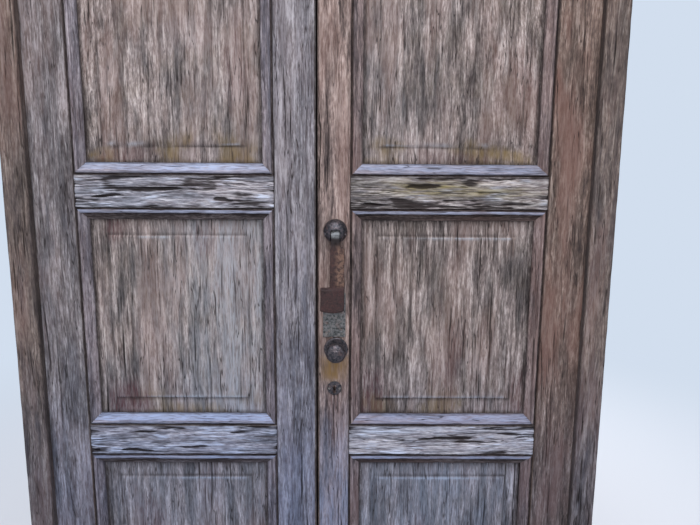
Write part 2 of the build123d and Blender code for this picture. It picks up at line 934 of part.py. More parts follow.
# Knocker: a domed boss with a slot below for the hammer's eye
slot_half = eye_width / 2 + eye_side_room
with BuildPart() as knocker_boss:
    with BuildSketch(Plane.XY.offset(boss_height)):
        with BuildLine():
            EllipticalCenterArc(
                (boss_x, -boss_base), boss_radius, boss_depth - boss_base, start_angle=270, arc_size=90
            )
            Polyline(
                (boss_x, -boss_depth),
                (boss_x, nut_face + shank_end),
                (boss_x + bolt_shank_radius, nut_face + shank_end),
                (boss_x + bolt_shank_radius, 0),
                (boss_x + boss_radius, 0),
                (boss_x + boss_radius, -boss_base),
            )
        make_face()
    revolve(axis=Axis((boss_x, 0, boss_height), (0, 1, 0)))
    pivot_height = boss_height - pivot_drop
    block(
        (boss_x - slot_half, -boss_depth - cut_past, boss_height - boss_radius - cut_past),
        (boss_x + slot_half, -boss_base, pivot_height + eye_radius + eye_side_room),
        Mode.SUBTRACT,
    )
    with Locations(Location((boss_x - boss_radius, -pivot_depth, pivot_height), (0, 90, 0))):
        Cylinder(knocker_pin_radius + pin_room, 2 * boss_radius, align=low, mode=Mode.SUBTRACT)
write(knocker_boss, "knocker_boss")

# The pin is shorter than the dome is wide there, so that it ends below its surface.
with BuildPart() as knocker_pin:
    with Locations(Location((boss_x - knocker_pin_length / 2, -pivot_depth, pivot_height), (0, 90, 0))):
        Cylinder(knocker_pin_radius, knocker_pin_length, align=low)
write(knocker_pin, "knocker_pin")

arm_left = hammer_right - arm_width
hammer_left = hammer_right - hammer_width
arm_shoulder = boss_height - boss_radius - arm_neck_drop
with BuildPart() as knocker_hammer:
    with Locations(Location((boss_x - eye_width / 2, -pivot_depth, pivot_height), (0, 90, 0))):
        Cylinder(eye_radius, eye_width, align=low)
    with BuildSketch(Plane.XZ.offset(arm_back)):
        with BuildLine():
            Polyline(
                (boss_x - eye_width / 2, pivot_height),
                (boss_x - eye_width / 2, arm_shoulder),
                (arm_left, arm_shoulder - arm_flare),
                (arm_left, hammer_top),
                (hammer_right, hammer_top),
                (hammer_right, arm_shoulder - arm_flare),
                (boss_x + eye_width / 2, arm_shoulder),
                (boss_x + eye_width / 2, pivot_height),
                close=True,
            )
        make_face()
    extrude(amount=arm_thickness)
    with BuildSketch(Plane.XZ.offset(hammer_back)):
        with BuildLine():
            ThreePointArc(
                (hammer_left, hammer_bottom + hammer_crown),
                ((hammer_left + hammer_right) / 2, hammer_bottom),
                (hammer_right, hammer_bottom + hammer_crown),
            )
            Polyline(
                (hammer_right, hammer_bottom + hammer_crown),
                (hammer_right, hammer_top),
                (hammer_left, hammer_top),
                (hammer_left, hammer_bottom + hammer_crown),
            )
        make_face()
    extrude(amount=hammer_thickness)
    front_edges = knocker_hammer.edges().filter_by_position(
        Axis.Y, -hammer_back - hammer_thickness, -hammer_back - hammer_thickness
    )
    chamfer(front_edges, length=hammer_chamfer)
    with Locations(Location((boss_x - eye_width / 2, -pivot_depth, pivot_height), (0, 90, 0))):
        Cylinder(knocker_pin_radius + pin_room, eye_width, align=low, mode=Mode.SUBTRACT)
write(knocker_hammer, "knocker_hammer")

stud_height = (hammer_top + hammer_bottom) / 2
with BuildPart() as knocker_strike:
    block(
        (strike_x - strike_width / 2, -strike_thickness, strike_bottom),
        (strike_x + strike_width / 2, 0, strike_top),
    )
    bore(
        [((hammer_left + hammer_right) / 2, stud_height)],
        stud_radius,
        -hammer_back,
        -strike_thickness,
        Mode.ADD,
    )
    bore(strike_tacks, tack_radius + screw_room, -strike_thickness, 0)
write(knocker_strike, "knocker_strike")

# Knob on its rose
with BuildPart() as knob_rose:
    bore([(knob_x, knob_height)], rose_radius, -rose_thickness, 0, Mode.ADD)
    chamfer(knob_rose.faces().sort_by(Axis.Y)[0].edges(), length=rose_chamfer)
    bore([(knob_x, knob_height)], neck_radius + neck_room, -rose_thickness, 0)
write(knob_rose, "knob_rose")

with BuildPart() as pull_knob:
    with BuildSketch(Plane.XY.offset(knob_height)):
        with BuildLine():
            ThreePointArc(
                (knob_x + neck_radius, -knob_shoulder),
                (knob_x + knob_radius, -knob_bulge),
                (knob_x + neck_radius, -knob_nose),
            )
            Polyline(
                (knob_x + neck_radius, -knob_nose),
                (knob_x + neck_radius, -knob_length),
                (knob_x, -knob_length),
                (knob_x, nut_face + shank_end),
                (knob_x + bolt_shank_radius, nut_face + shank_end),
                (knob_x + bolt_shank_radius, 0),
                (knob_x + neck_radius, 0),
                (knob_x + neck_radius, -knob_shoulder),
            )
        make_face()
    revolve(axis=Axis((knob_x, 0, knob_height), (0, 1, 0)))
write(pull_knob, "pull_knob")

with BuildPart() as furniture_nuts:
    for x, z in shank_points:
        with BuildSketch(Plane.XZ.offset(-nut_face)):
            with Locations((x, z)):
                RegularPolygon(nut_width / 2, 6, major_radius=False)
                Circle(bolt_shank_radius + screw_room, mode=Mode.SUBTRACT)
        extrude(amount=nut_thickness)
write(furniture_nuts, "furniture_nuts")

with BuildPart() as keyhole_escutcheon:
    bore([(keyhole_x, keyhole_height)], escutcheon_radius, -escutcheon_thickness, 0, Mode.ADD)
    chamfer(keyhole_escutcheon.faces().sort_by(Axis.Y)[0].edges(), length=escutcheon_chamfer)
    keyhole(-escutcheon_thickness, 0)
    bore(escutcheon_tacks, tack_radius + screw_room, -escutcheon_thickness, 0)
write(keyhole_escutcheon, "keyhole_escutcheon")

# Rim lock
with BuildPart() as lock_case:
    block((case_x, case_back, case_bottom), (case_right, case_face, case_top))
    block(
        (case_x + case_wall, case_back, case_bottom + case_wall),
        (case_right - case_wall, case_face - case_wall, case_top - case_wall),
        Mode.SUBTRACT,
    )
    block(
        (case_x, bolt_front - bolt_gap, bolt_middle - bolt_height / 2 - bolt_gap),
        (case_x + case_wall, bolt_back + bolt_gap, bolt_middle + bolt_height / 2 + bolt_gap),
        Mode.SUBTRACT,
    )
    bore(case_screws, screw_radius + screw_room, case_face - case_wall, case_face)
    keyhole(case_face - case_wall, case_face)
write(lock_case, "lock_case")

with BuildPart() as lock_backplate:
    block((case_x, leaf_thickness, case_bottom), (case_right, case_back, case_top))
    bore([(stump_x, bolt_middle)], stump_radius, case_back, bolt_back, Mode.ADD)
    bore(case_screws, screw_radius + screw_room, leaf_thickness, case_back)
    keyhole(leaf_thickness, case_back)
write(lock_backplate, "lock_backplate")

tail_front = (bolt_front + bolt_back - bolt_tail_thickness) / 2
tail_back = tail_front + bolt_tail_thickness
tail_bottom = bolt_middle - bolt_height / 2 + bolt_tail_inset
tail_top = bolt_middle + bolt_height / 2 - bolt_tail_inset
bolt_end = case_right - case_wall - bolt_end_room
slot_reach = stump_radius + bolt_gap
with BuildPart() as dead_bolt:
    block(
        (case_x, bolt_front, bolt_middle - bolt_height / 2),
        (case_x + bolt_head_length, bolt_back, bolt_middle + bolt_height / 2),
    )
    block(
        (case_x + bolt_head_length, tail_front, tail_bottom),
        (bolt_end, tail_back, tail_top),
    )
    block(
        (stump_x - slot_reach, tail_front, bolt_middle - slot_reach),
        (stump_x + bolt_throw + slot_reach, tail_back, bolt_middle + slot_reach),
        Mode.SUBTRACT,
    )
    block(
        (talon_x, tail_front, tail_bottom),
        (talon_x + talon_width, tail_back, tail_bottom + talon_depth),
        Mode.SUBTRACT,
    )
write(dead_bolt, "dead_bolt")

spring_x = case_x + bolt_head_length + spring_setback
with BuildPart() as lock_spring:
    with BuildSketch(Plane.XZ.offset(-tail_back)):
        with BuildLine():
            Polyline(
                (spring_x, tail_top),
                (spring_x + spring_foot, tail_top),
                (bolt_end, tail_top + spring_lift),
                (bolt_end, tail_top + spring_lift + spring_thickness),
                (spring_x + spring_foot, tail_top + spring_thickness),
                (spring_x, tail_top + spring_thickness),
                close=True,
            )
        make_face()
    extrude(amount=bolt_tail_thickness)
write(lock_spring, "lock_spring")

with BuildPart() as lock_keeper:
    block(
        (keeper_left, leaf_thickness, bolt_middle - keeper_half - keeper_flange),
        (keeper_right, plate_face, bolt_middle + keeper_half + keeper_flange),
    )
    block(
        (keeper_left, leaf_thickness, bolt_middle - keeper_half),
        (keeper_right, leaf_thickness + keeper_depth, bolt_middle + keeper_half),
    )
    block(
        (
            keeper_right - keeper_pocket,
            bolt_front - keeper_room,
            bolt_middle - bolt_height / 2 - keeper_room,
        ),
        (keeper_right, bolt_back + keeper_room, bolt_middle + bolt_height / 2 + keeper_room),
        Mode.SUBTRACT,
    )
    bore(keeper_screws, screw_radius + screw_room, leaf_thickness, plate_face)
write(lock_keeper, "lock_keeper")


# Top and bottom bolts
def bracket(height):
    # A block on a flanged foot; the rod's hole is cut afterwards.
    block(
        (rod_x - bracket_half, leaf_thickness, height - bracket_height / 2),
        (rod_x + bracket_half, leaf_thickness + bracket_plate, height + bracket_height / 2),
    )
    block(
        (rod_x - bracket_width / 2, leaf_thickness, height - bracket_height / 2),
        (rod_x + bracket_width / 2, leaf_thickness + bracket_depth, height + bracket_height / 2),
    )


with BuildPart() as bolt_brackets:
    for height in (*top_brackets, *bottom_brackets):
        bracket(height)
        with Locations((rod_x, rod_y, height - bracket_height / 2)):
            Cylinder(rod_radius + rod_room, bracket_height, align=low, mode=Mode.SUBTRACT)
    bore(bracket_screws, screw_radius + screw_room, leaf_thickness, leaf_thickness + bracket_plate)
write(bolt_brackets, "bolt_brackets")


def make_rod(node, bottom, top, collar_bottom):
    with BuildPart() as rod:
        with Locations((rod_x, rod_y, bottom)):
            Cylinder(rod_radius, top - bottom, align=low)
        with Locations((rod_x, rod_y, collar_bottom)):
            Cylinder(collar_radius, collar_height, align=low)
        handle = (rod_x, collar_bottom + collar_height / 2)
        bore([handle], handle_radius, rod_y, rod_y + handle_length, Mode.ADD)
    write(rod, node)


# At rest both rods are drawn back: the top one's collar stands on its lowest bracket,
# and the bottom one's collar is up against its upper bracket.
top_rod_top = rod_keeper_bottom - rod_end_room
bottom_rod_bottom = threshold_height + rod_end_room
make_rod(
    "top_bolt_rod",
    top_brackets[0] - bracket_height / 2 - rod_tail,
    top_rod_top,
    top_brackets[0] + bracket_height / 2,
)
make_rod(
    "bottom_bolt_rod",
    bottom_rod_bottom,
    bottom_brackets[1] + bracket_height / 2 + rod_tail,
    bottom_brackets[1] - bracket_height / 2 - collar_height,
)

with BuildPart() as top_bolt_keeper:
    block(
        (rod_x - bracket_half, leaf_thickness, rod_keeper_bottom),
        (rod_x + bracket_half, leaf_thickness + bracket_plate, rod_keeper_bottom + rod_keeper_height),
    )
    block(
        (rod_x - bracket_width / 2, leaf_thickness, rod_keeper_bottom),
        (
            rod_x + bracket_width / 2,
            leaf_thickness + bracket_depth,
            rod_keeper_bottom + rod_keeper_height,
        ),
    )
    with Locations((rod_x, rod_y, rod_keeper_bottom)):
        Cylinder(rod_radius + rod_keeper_room, rod_keeper_height, align=low, mode=Mode.SUBTRACT)
    bore(rod_keeper_screws, screw_radius + screw_room, leaf_thickness, leaf_thickness + bracket_plate)
write(top_bolt_keeper, "top_bolt_keeper")

with BuildPart() as bottom_bolt_keeper:
    block(
        (rod_x - floor_keeper_width / 2, rod_y - floor_keeper_reach / 2, floor_keeper_low),
        (rod_x + floor_keeper_width / 2, rod_y + floor_keeper_reach / 2, floor_keeper_top),
    )
    with Locations((rod_x, rod_y, floor_keeper_low)):
        Cylinder(rod_radius + rod_keeper_room, floor_keeper_thickness, align=low, mode=Mode.SUBTRACT)
    with Locations(*[(x, y, floor_keeper_low) for x, y in floor_keeper_screws]):
        Cylinder(screw_radius + screw_room, floor_keeper_thickness, align=low, mode=Mode.SUBTRACT)
write(bottom_bolt_keeper, "bottom_bolt_keeper")


# Screws and tacks, one group for each body
def screws(points, face, length):
    bore(points, screw_radius, face - length, face, Mode.ADD)
    bore(points, screw_head_radius, face, face + screw_head_height, Mode.ADD)


def mirror_points(points):
    return [(-x, z) for x, z in points]


with BuildPart() as frame_screws:
    screws([*frame_screw_points, *mirror_points(frame_screw_points)], plate_face, screw_length)
    screws(rod_keeper_screws, leaf_thickness + bracket_plate, screw_length)
    with Locations(*[(x, y, floor_keeper_top - tack_length) for x, y in floor_keeper_screws]):
        Cylinder(screw_radius, tack_length, align=low)
    with Locations(*[(x, y, floor_keeper_top) for x, y in floor_keeper_screws]):
        Cylinder(screw_head_radius, tack_head_height, align=low)
write(frame_screws, "frame_screws")

with BuildPart() as left_leaf_screws:
    screws([*leaf_screw_points, *keeper_screws], plate_face, screw_length)
    screws(bracket_screws, leaf_thickness + bracket_plate, screw_length)
write(left_leaf_screws, "left_leaf_screws")

with BuildPart() as right_leaf_screws:
    screws(mirror_points(leaf_screw_points), plate_face, screw_length)
    screws(case_screws, case_face, case_face - leaf_thickness + screw_length)
    for tacks, face in ((strike_tacks, -strike_thickness), (escutcheon_tacks, -escutcheon_thickness)):
        bore(tacks, tack_radius, face, tack_length, Mode.ADD)
        bore(tacks, tack_head_radius, face - tack_head_height, face, Mode.ADD)
write(right_leaf_screws, "right_leaf_screws")
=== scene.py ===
import json
import math
from functools import partial

import bmesh
import bpy
import numpy as np
from mathutils import Matrix, Vector

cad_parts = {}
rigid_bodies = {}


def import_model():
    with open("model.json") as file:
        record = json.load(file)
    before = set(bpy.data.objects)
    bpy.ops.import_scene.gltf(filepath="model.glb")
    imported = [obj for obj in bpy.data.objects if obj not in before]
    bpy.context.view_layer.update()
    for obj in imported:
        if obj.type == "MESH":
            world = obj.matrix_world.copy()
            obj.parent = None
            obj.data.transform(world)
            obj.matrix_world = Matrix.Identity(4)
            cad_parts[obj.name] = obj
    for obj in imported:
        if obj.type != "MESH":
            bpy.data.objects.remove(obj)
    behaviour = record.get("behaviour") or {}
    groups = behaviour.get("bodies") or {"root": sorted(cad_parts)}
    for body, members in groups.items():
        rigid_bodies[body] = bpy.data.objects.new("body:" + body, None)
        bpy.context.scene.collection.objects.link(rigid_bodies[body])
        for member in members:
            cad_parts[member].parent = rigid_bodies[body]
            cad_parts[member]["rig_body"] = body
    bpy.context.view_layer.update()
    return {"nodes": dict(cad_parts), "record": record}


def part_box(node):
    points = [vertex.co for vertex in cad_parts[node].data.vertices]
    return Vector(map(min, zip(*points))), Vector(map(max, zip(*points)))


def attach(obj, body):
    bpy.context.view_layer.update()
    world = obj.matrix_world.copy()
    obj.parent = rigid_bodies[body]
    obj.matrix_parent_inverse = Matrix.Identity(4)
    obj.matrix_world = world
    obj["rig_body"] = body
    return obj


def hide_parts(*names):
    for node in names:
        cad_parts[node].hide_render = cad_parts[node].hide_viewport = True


# An arched pair of weathered panelled oak doors in its frame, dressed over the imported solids.
# Sizes in the dictionaries are millimetres; points become metres where a mesh is made.

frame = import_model()
nodes = frame["nodes"]
print("frame loaded,", len(nodes), "nodes")

mm = 0.001


# The node's lowest and highest corners, in millimetres.
def nodeBox(node):
    low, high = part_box(node)
    return np.array(low) * 1000, np.array(high) * 1000


# Noise: every formula works on whole arrays.


# A repeatable number from -1 to 1 for each whole pair (i, j): an integer hash.
def lattice(i, j, seed):
    n = (i * 374761393 + j * 668265263 + seed * 974711) & 0xFFFFFFFF
    n = ((n ^ (n >> 13)) * 1274126177) & 0xFFFFFFFF
    return (n ^ (n >> 16)) / 0x7FFFFFFF - 1


# Smooth noise from -1 to 1: the lattice's values, blended by 3t^2 - 2t^3 in each cell.
def noise(u, v, seed=0):
    u, v = np.broadcast_arrays(u, v)
    i, j = np.floor(u).astype(np.int64), np.floor(v).astype(np.int64)
    s, t = u - i, v - j
    s, t = s * s * (3 - 2 * s), t * t * (3 - 2 * t)
    near = lattice(i, j, seed) * (1 - s) + lattice(i + 1, j, seed) * s
    far = lattice(i, j + 1, seed) * (1 - s) + lattice(i + 1, j + 1, seed) * s
    return near * (1 - t) + far * t


# Noise added to itself at twice the fineness each time, with gain times the height.
def layered(u, v, seed, octaves=3, gain=0.5):
    total, height, whole = 0, 1, 0
    for k in range(octaves):
        total = total + height * noise(u * 2**k, v * 2**k, seed + 31 * k)
        whole += height
        height *= gain
    return total / whole


# 0 below low, 1 above high, and 3t^2 - 2t^3 between them.
def smooth(x, low, high):
    t = np.clip((x - low) / (high - low), 0, 1)
    return t * t * (3 - 2 * t)


# 1 on the middle, falling away as exp(-t^2), with t counted in widths.
def bell(x, middle, width):
    return np.exp(-(((x - middle) / width) ** 2))


# The greatest of several fields at each point.
def highest(*fields):
    return np.max(np.broadcast_arrays(*fields), axis=0)


# Meshes


# Points round a closed outline, evenly spaced on its sides, with its corners rounded. corners holds
# (across, depth, is rounded, spacing of the side that follows as a share of step). It gives each
# point, the way out of the section there, and the number of its side.
def outline(corners, step, radius, roundParts=3):
    places = [np.array(c[:2], float) for c in corners]
    points, normals, sides = [], [], []
    for k, corner in enumerate(places):
        before, after = places[k - 1], places[(k + 1) % len(places)]
        come, go = corner - before, after - corner
        come, length = come / np.linalg.norm(come), np.linalg.norm(go)
        go = go / length
        turn = come[0] * go[1] - come[1] * go[0]
        r = radius if corners[k][2] else 0.0
        nextRound = radius if corners[(k + 1) % len(corners)][2] else 0.0
        outComing, outGoing = np.array((come[1], -come[0])), np.array((go[1], -go[0]))
        if r:
            centre = corner - r * (outComing + outGoing)
            for share in np.linspace(0, 1, roundParts, endpoint=False):
                out = outComing * (1 - share) + outGoing * share
                out = out / np.linalg.norm(out)
                points.append(centre + r * out)
                normals.append(out)
                sides.append(k)
        else:
            out = outComing + outGoing
            points.append(corner)
            normals.append(out / max(np.linalg.norm(out), 0.5))
            sides.append(k)
            if turn < 0:  # an inner corner stays where it is
                normals[-1] = normals[-1] * 0
        free = length - r - nextRound
        parts = max(1, int(round(free / (step * corners[k][3]))))
        first = corner + go * r
        for i in range(0 if r else 1, parts):
            points.append(first + go * free * i / parts)
            normals.append(outGoing)
            sides.append(k)
    return np.array(points), np.array(normals), np.array(sides)


# The distance round the outline to each point, and all the way round.
def perimeter(points):
    lengths = np.linalg.norm(np.roll(points, -1, 0) - points, axis=1)
    return np.concatenate([[0], np.cumsum(lengths)])


# Places along a piece, step apart, one endGap from either end, and one at each extra place.
def stations(length, step, extra=(), endGap=1.2):
    even = np.linspace(0, length, max(2, int(round(length / step)) + 1))
    ends = [endGap, length - endGap]
    inside = [x for x in extra if 0 < x < length]
    return np.unique(np.round(np.concatenate([even, ends, inside]), 3))


shadeNames = ("hollow", "bleach", "stain", "inside", "grime", "blotch", "damp")


# The shades that a material reads at each point, of like's shape, and 0 where none is given.
def shadesOf(like, **given):
    return {name: given.get(name, 0.0) + 0 * like for name in shadeNames}


# A closed surface over rings of points: quads between neighbouring rings and a face at each end.
# The map's first coordinate is the distance along the grain, its second the distance round the section.
def skin(rings, along, around, shades):
    count, size = rings.shape[:2]
    index = np.arange(count * size).reshape(count, size)
    here, ahead = index[:-1], index[1:]
    quads = np.stack([here, np.roll(here, -1, 1), np.roll(ahead, -1, 1), ahead], -1).reshape(-1, 4)
    alongGrid = np.broadcast_to(along[:, None], (count, size + 1))
    aroundGrid = np.broadcast_to(around[None, :], (count, size + 1))
    mapped = np.stack([alongGrid, aroundGrid], -1) * mm
    corners = [mapped[:-1, :-1], mapped[:-1, 1:], mapped[1:, 1:], mapped[1:, :-1]]
    endUv = [mapped[0, :-1][::-1], mapped[-1, :-1]]
    uv = np.concatenate([np.stack(corners, 2).reshape(-1, 2), *endUv])
    loops = np.concatenate([quads.ravel(), index[0][::-1], index[-1]])
    starts = np.concatenate([np.arange(len(quads)) * 4, [len(quads) * 4, len(quads) * 4 + size]])
    points = rings.reshape(-1, 3)
    triangles = np.concatenate([
        quads[:, [0, 1, 2]],
        quads[:, [0, 2, 3]],
        np.stack([np.full(size - 2, index[0, 0]), index[0, 2:], index[0, 1:-1]], -1),
        np.stack([np.full(size - 2, index[-1, 0]), index[-1, 1:-1], index[-1, 2:]], -1),
    ])
    a, b, c = (points[triangles[:, k]] for k in range(3))
    if np.einsum("ij,ij->i", a, np.cross(b, c)).sum() < 0:  # inside out, so every face is turned over
        ends = np.append(starts[1:], len(loops))
        four = np.arange(len(quads) * 4).reshape(-1, 4)[:, ::-1].ravel()
        caps = [np.arange(s, e)[::-1] for s, e in zip(starts[-2:], ends[-2:])]
        order = np.concatenate([four, *caps])
        loops, uv = loops[order], uv[order]
    return {"points": points, "loops": loops, "starts": starts, "uv": uv, "shades": shades}


# A new object in the scene for a mesh, a lamp or a camera.
def addObject(name, data):
    added = bpy.data.objects.new(name, data)
    bpy.context.scene.collection.objects.link(added)
    return added


# One mesh object from one or more closed skins, at the origin, in metres; edges that turn by more
# than sharp degrees stay crisp.
def makePiece(name, skins, material, sharp=40):
    mesh = bpy.data.meshes.new(name)
    points = np.concatenate([s["points"] for s in skins])
    offsets = np.cumsum([0] + [len(s["points"]) for s in skins[:-1]])
    loopOffsets = np.cumsum([0] + [len(s["loops"]) for s in skins[:-1]])
    loops = np.concatenate([s["loops"] + o for s, o in zip(skins, offsets)])
    starts = np.concatenate([s["starts"] + o for s, o in zip(skins, loopOffsets)])
    mesh.vertices.add(len(points))
    mesh.vertices.foreach_set("co", (points * mm).astype(np.float32).ravel())
    mesh.loops.add(len(loops))
    mesh.loops.foreach_set("vertex_index", loops.astype(np.int32))
    mesh.polygons.add(len(starts))
    mesh.polygons.foreach_set("loop_start", starts.astype(np.int32))
    layer = mesh.uv_layers.new(name="grain")
    layer.data.foreach_set("uv", np.concatenate([s["uv"] for s in skins]).astype(np.float32).ravel())
    for shade in shadeNames:
        values = np.concatenate([s["shades"][shade].ravel() for s in skins])
        carried = mesh.attributes.new(shade, "FLOAT", "POINT")
        carried.data.foreach_set("value", values.astype(np.float32))
    mesh.update(calc_edges=True)
    mesh.shade_smooth()
    mesh.set_sharp_from_angle(angle=math.radians(sharp))
    mesh.materials.append(material)
    return addObject(name, mesh)


# Points at one place become one, which also takes away faces with no area.
def mergeClose(mesh):
    work = bmesh.new()
    work.from_mesh(mesh)
    bmesh.ops.remove_doubles(work, verts=work.verts, dist=0.01 * mm)
    work.to_mesh(mesh)
    work.free()


# The piece takes the mesh that its modifiers make of it.
def applyModifiers(piece):
    bpy.context.view_layer.update()
    evaluated = piece.evaluated_get(bpy.context.evaluated_depsgraph_get())
    made = bpy.data.meshes.new_from_object(evaluated)
    piece.modifiers.clear()
    piece.data = made


# The piece stands for the node, on the node's body.
def fit(piece, node):
    body = nodes[node]["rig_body"]
    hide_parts(node)
    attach(piece, body)
    return piece


# Materials


# An sRGB hex colour as the linear colour that a shader takes.
def linear(text):
    values = [int(text[i : i + 2], 16) / 255 for i in (1, 3, 5)]
    return tuple(v / 12.92 if v <= 0.04045 else ((v + 0.055) / 1.055) ** 2.4 for v in values) + (1.0,)


# A node. The values go to the inputs it has in use, in their order. A name with a capital is an input,
# with _ for a space, and any other a setting; stops are a colour ramp's places and hex colours. It
# gives the output called out, or else the first in use.
def addNode(tree, kind, *values, out=None, stops=(), **named):
    node = tree.nodes.new("ShaderNode" + kind)
    for key in [key for key in named if key.islower()]:
        setattr(node, key, named.pop(key))
    for _ in stops[2:]:
        node.color_ramp.elements.new(0.5)
    for k, (place, colour) in enumerate(stops):
        element = node.color_ramp.elements[k]
        element.position, element.color = place, linear(colour)
    inUse = [socket for socket in node.inputs if socket.enabled]
    called = [(node.inputs[key.replace("_", " ")], value) for key, value in named.items()]
    for socket, value in [*zip(inUse, values), *called]:
        if isinstance(value, bpy.types.NodeSocket):
            tree.links.new(value, socket)
        else:
            socket.default_value = value
    return node.outputs[out] if out else next((s for s in node.outputs if s.enabled), None)


# Settings that several nodes share.
times, plus, minus = ({"operation": name} for name in ("MULTIPLY", "ADD", "SUBTRACT"))
timesPlus, limited = {"operation": "MULTIPLY_ADD"}, {"operation": "MULTIPLY", "use_clamp": True}
over, tinted = {"data_type": "RGBA"}, {"data_type": "RGBA", "blend_type": "MULTIPLY"}
eased = {"interpolation_type": "SMOOTHSTEP"}  # a range, from low to high, by 3t^2 - 2t^3


# A new material and its empty node tree.
def newMaterial(name):
    material = bpy.data.materials.new(name)
    material.use_nodes = True
    material.node_tree.nodes.clear()
    return material, material.node_tree


# Noise drawn out along the grain: alongMm and acrossMm are the real size of one patch, and shift
# moves it, so that no two layers have the same pattern.
def streaks(tree, place, alongMm, acrossMm, detail, roughness, shift=0.0):
    stretch = {"Location": (shift, shift * 0.7, shift), "Scale": (1000 / alongMm, 1000 / acrossMm, 1.0)}
    stretched = addNode(tree, "Mapping", place, **stretch)
    return addNode(tree, "TexNoise", Vector=stretched, Scale=1.0, Detail=detail, Roughness=roughness)


# Sizes are the real ones in mm, but fibres and ridges are drawn coarser than oak's own, which are
# under 1 mm, so that they show in the render.
oakLook = {
    "dark": "#3A302E", "light": "#BDB2AE", "redder": "#6E5148", "silver": "#A2A9BB", "stain": "#746038",
    "blotch": "#432D2B", "crack": "#1B1514", "grime": "#2B2423", "damp": "#DFEBFF",
    "inside": "#84694F", "insideDark": "#4F3C2C", "cloud": 0.3, "redness": 0.5, "contrast": 1.0,
    "toneSpread": 0.135, "fibreMm": 3.6, "fibreLengthMm": 34, "streakMm": 11, "streakLengthMm": 130,
    "wanderMm": 12, "bumpMm": 0.9, "bumpStrength": 0.9, "roughness": 0.86, "specular": 0.25,
}
oakNoise = {  # a patch's length and width in mm, then the noise's detail, roughness and shift
    "wander": (240, 34, 1.0, 0.5), "patch": (300, 70, 3.0, 0.55, 7.7), "speck": (12, 2.6, 2.0, 0.6, 12.3),
    "cloud": (170, 24, 2.0, 0.55, 41.0), "check": (130, 7.5, 1.0, 0.5, 21.0),
    "rare": (190, 30, 1.0, 0.5, 33.0),
}
# The noise between which a colour comes in, and its shares there where they aren't 0 and 1.
oakRanges = {
    "cloud": (0.36, 0.64), "redder": (0.42, 0.66), "silver": (0.3, 0.62, 0.35, 1.0),
    "stain": (0.35, 0.6, 0.3, 1.0), "blotch": (0.3, 0.6, 1.0, 0.4), "grime": (0.3, 0.7, 0.97, 0.7),
    "hollow": (0.2, 1.0, 0.0, 0.92), "check": (0.004, 0.022, 0.75, 0.0), "rare": (0.46, 0.58),
}


# Bare oak that sun and rain have worn: raised grey fibres, dark open checks, brown where the surface
# is younger, with painted shade and painted cool light where the mesh's shades say. It reads as dry and matt,
# with no gloss.
def weatheredOak(name, **changes):
    look = {**oakLook, **changes}
    material, tree = newMaterial(name)
    add = partial(addNode, tree)
    place = add("UVMap", uv_map="grain")
    wander = add("Math", streaks(tree, place, *oakNoise["wander"]), look["wanderMm"] * mm, 0.5, **timesPlus)
    grain = add("VectorMath", place, add("CombineXYZ", Y=wander), **plus)
    fibre = streaks(tree, grain, look["fibreLengthMm"], look["fibreMm"], 3.0, 0.62)
    broad = streaks(tree, grain, look["streakLengthMm"], look["streakMm"], 3.0, 0.6, 3.1)
    layers = ("patch", "speck", "cloud", "check", "rare")
    patch, speck, cloud, check, rare = (streaks(tree, grain, *oakNoise[layer]) for layer in layers)
    carried = {shade: add("Attribute", attribute_name=shade, out="Fac") for shade in shadeNames}

    # A colour laid where the mesh's shade says, broken up by a noise.
    def wash(colour, shade, part, tint):
        ragged = add("MapRange", part, *oakRanges[tint], **eased)
        amount = add("Math", carried[shade], ragged, **limited)
        return add("Mix", amount, colour, linear(look[tint]), **over)

    tone = 0.0
    for part, share in ((fibre, 0.27), (broad, 0.3), (patch, 0.25), (speck, 0.18)):
        tone = add("Math", add("Math", part, share, **times), tone, **plus)
    spread = look["toneSpread"] / look["contrast"]
    tone = add("MapRange", tone, 0.5 - spread, 0.5 + spread, **eased)
    colour = add("ValToRGB", tone, stops=[(0.0, look["dark"]), (0.5, look["base"]), (1.0, look["light"])])
    weight = add("MapRange", cloud, *oakRanges["cloud"], 1 - look["cloud"], 1 + look["cloud"], **eased)
    colour = add("Mix", 1.0, colour, weight, **tinted)
    reddish = add("MapRange", patch, *oakRanges["redder"], 0.0, look["redness"], **eased)
    colour = add("Mix", reddish, colour, linear(look["redder"]), **over)
    colour = wash(colour, "bleach", fibre, "silver")
    colour = wash(colour, "stain", broad, "stain")
    colour = wash(colour, "blotch", fibre, "blotch")
    # Painted cool light: the wood darker and bluer toward the foot.
    colour = add("Mix", carried["damp"], colour, linear(look["damp"]), **tinted)
    # Dirt and painted shade: darker against the mouldings, in the quirks, along the arrises and on slopes
    # that face down.
    colour = wash(colour, "grime", speck, "grime")
    sunk = add("MapRange", carried["hollow"], *oakRanges["hollow"], **eased)
    colour = add("Mix", sunk, colour, linear(look["crack"]), **over)
    line = add("Math", add("Math", check, 0.5, **minus), operation="ABSOLUTE")
    line = add("MapRange", line, *oakRanges["check"], **eased)
    line = add("Math", line, add("MapRange", rare, *oakRanges["rare"], **eased), **times)
    colour = add("Mix", line, colour, linear(look["crack"]), **over)
    indoors = add("ValToRGB", tone, stops=[(0.0, look["insideDark"]), (1.0, look["inside"])])
    colour = add("Mix", carried["inside"], colour, indoors, **over)

    height = add("Math", fibre, add("Math", broad, 0.6, **times), **plus)
    height = add("Math", height, line, **minus)
    bump = add("Bump", Height=height, Distance=look["bumpMm"] * mm, Strength=look["bumpStrength"])
    finish = {"Roughness": look["roughness"], "Specular_IOR_Level": look["specular"], "Normal": bump}
    add("OutputMaterial", add("BsdfPrincipled", Base_Color=colour, **finish))
    return material


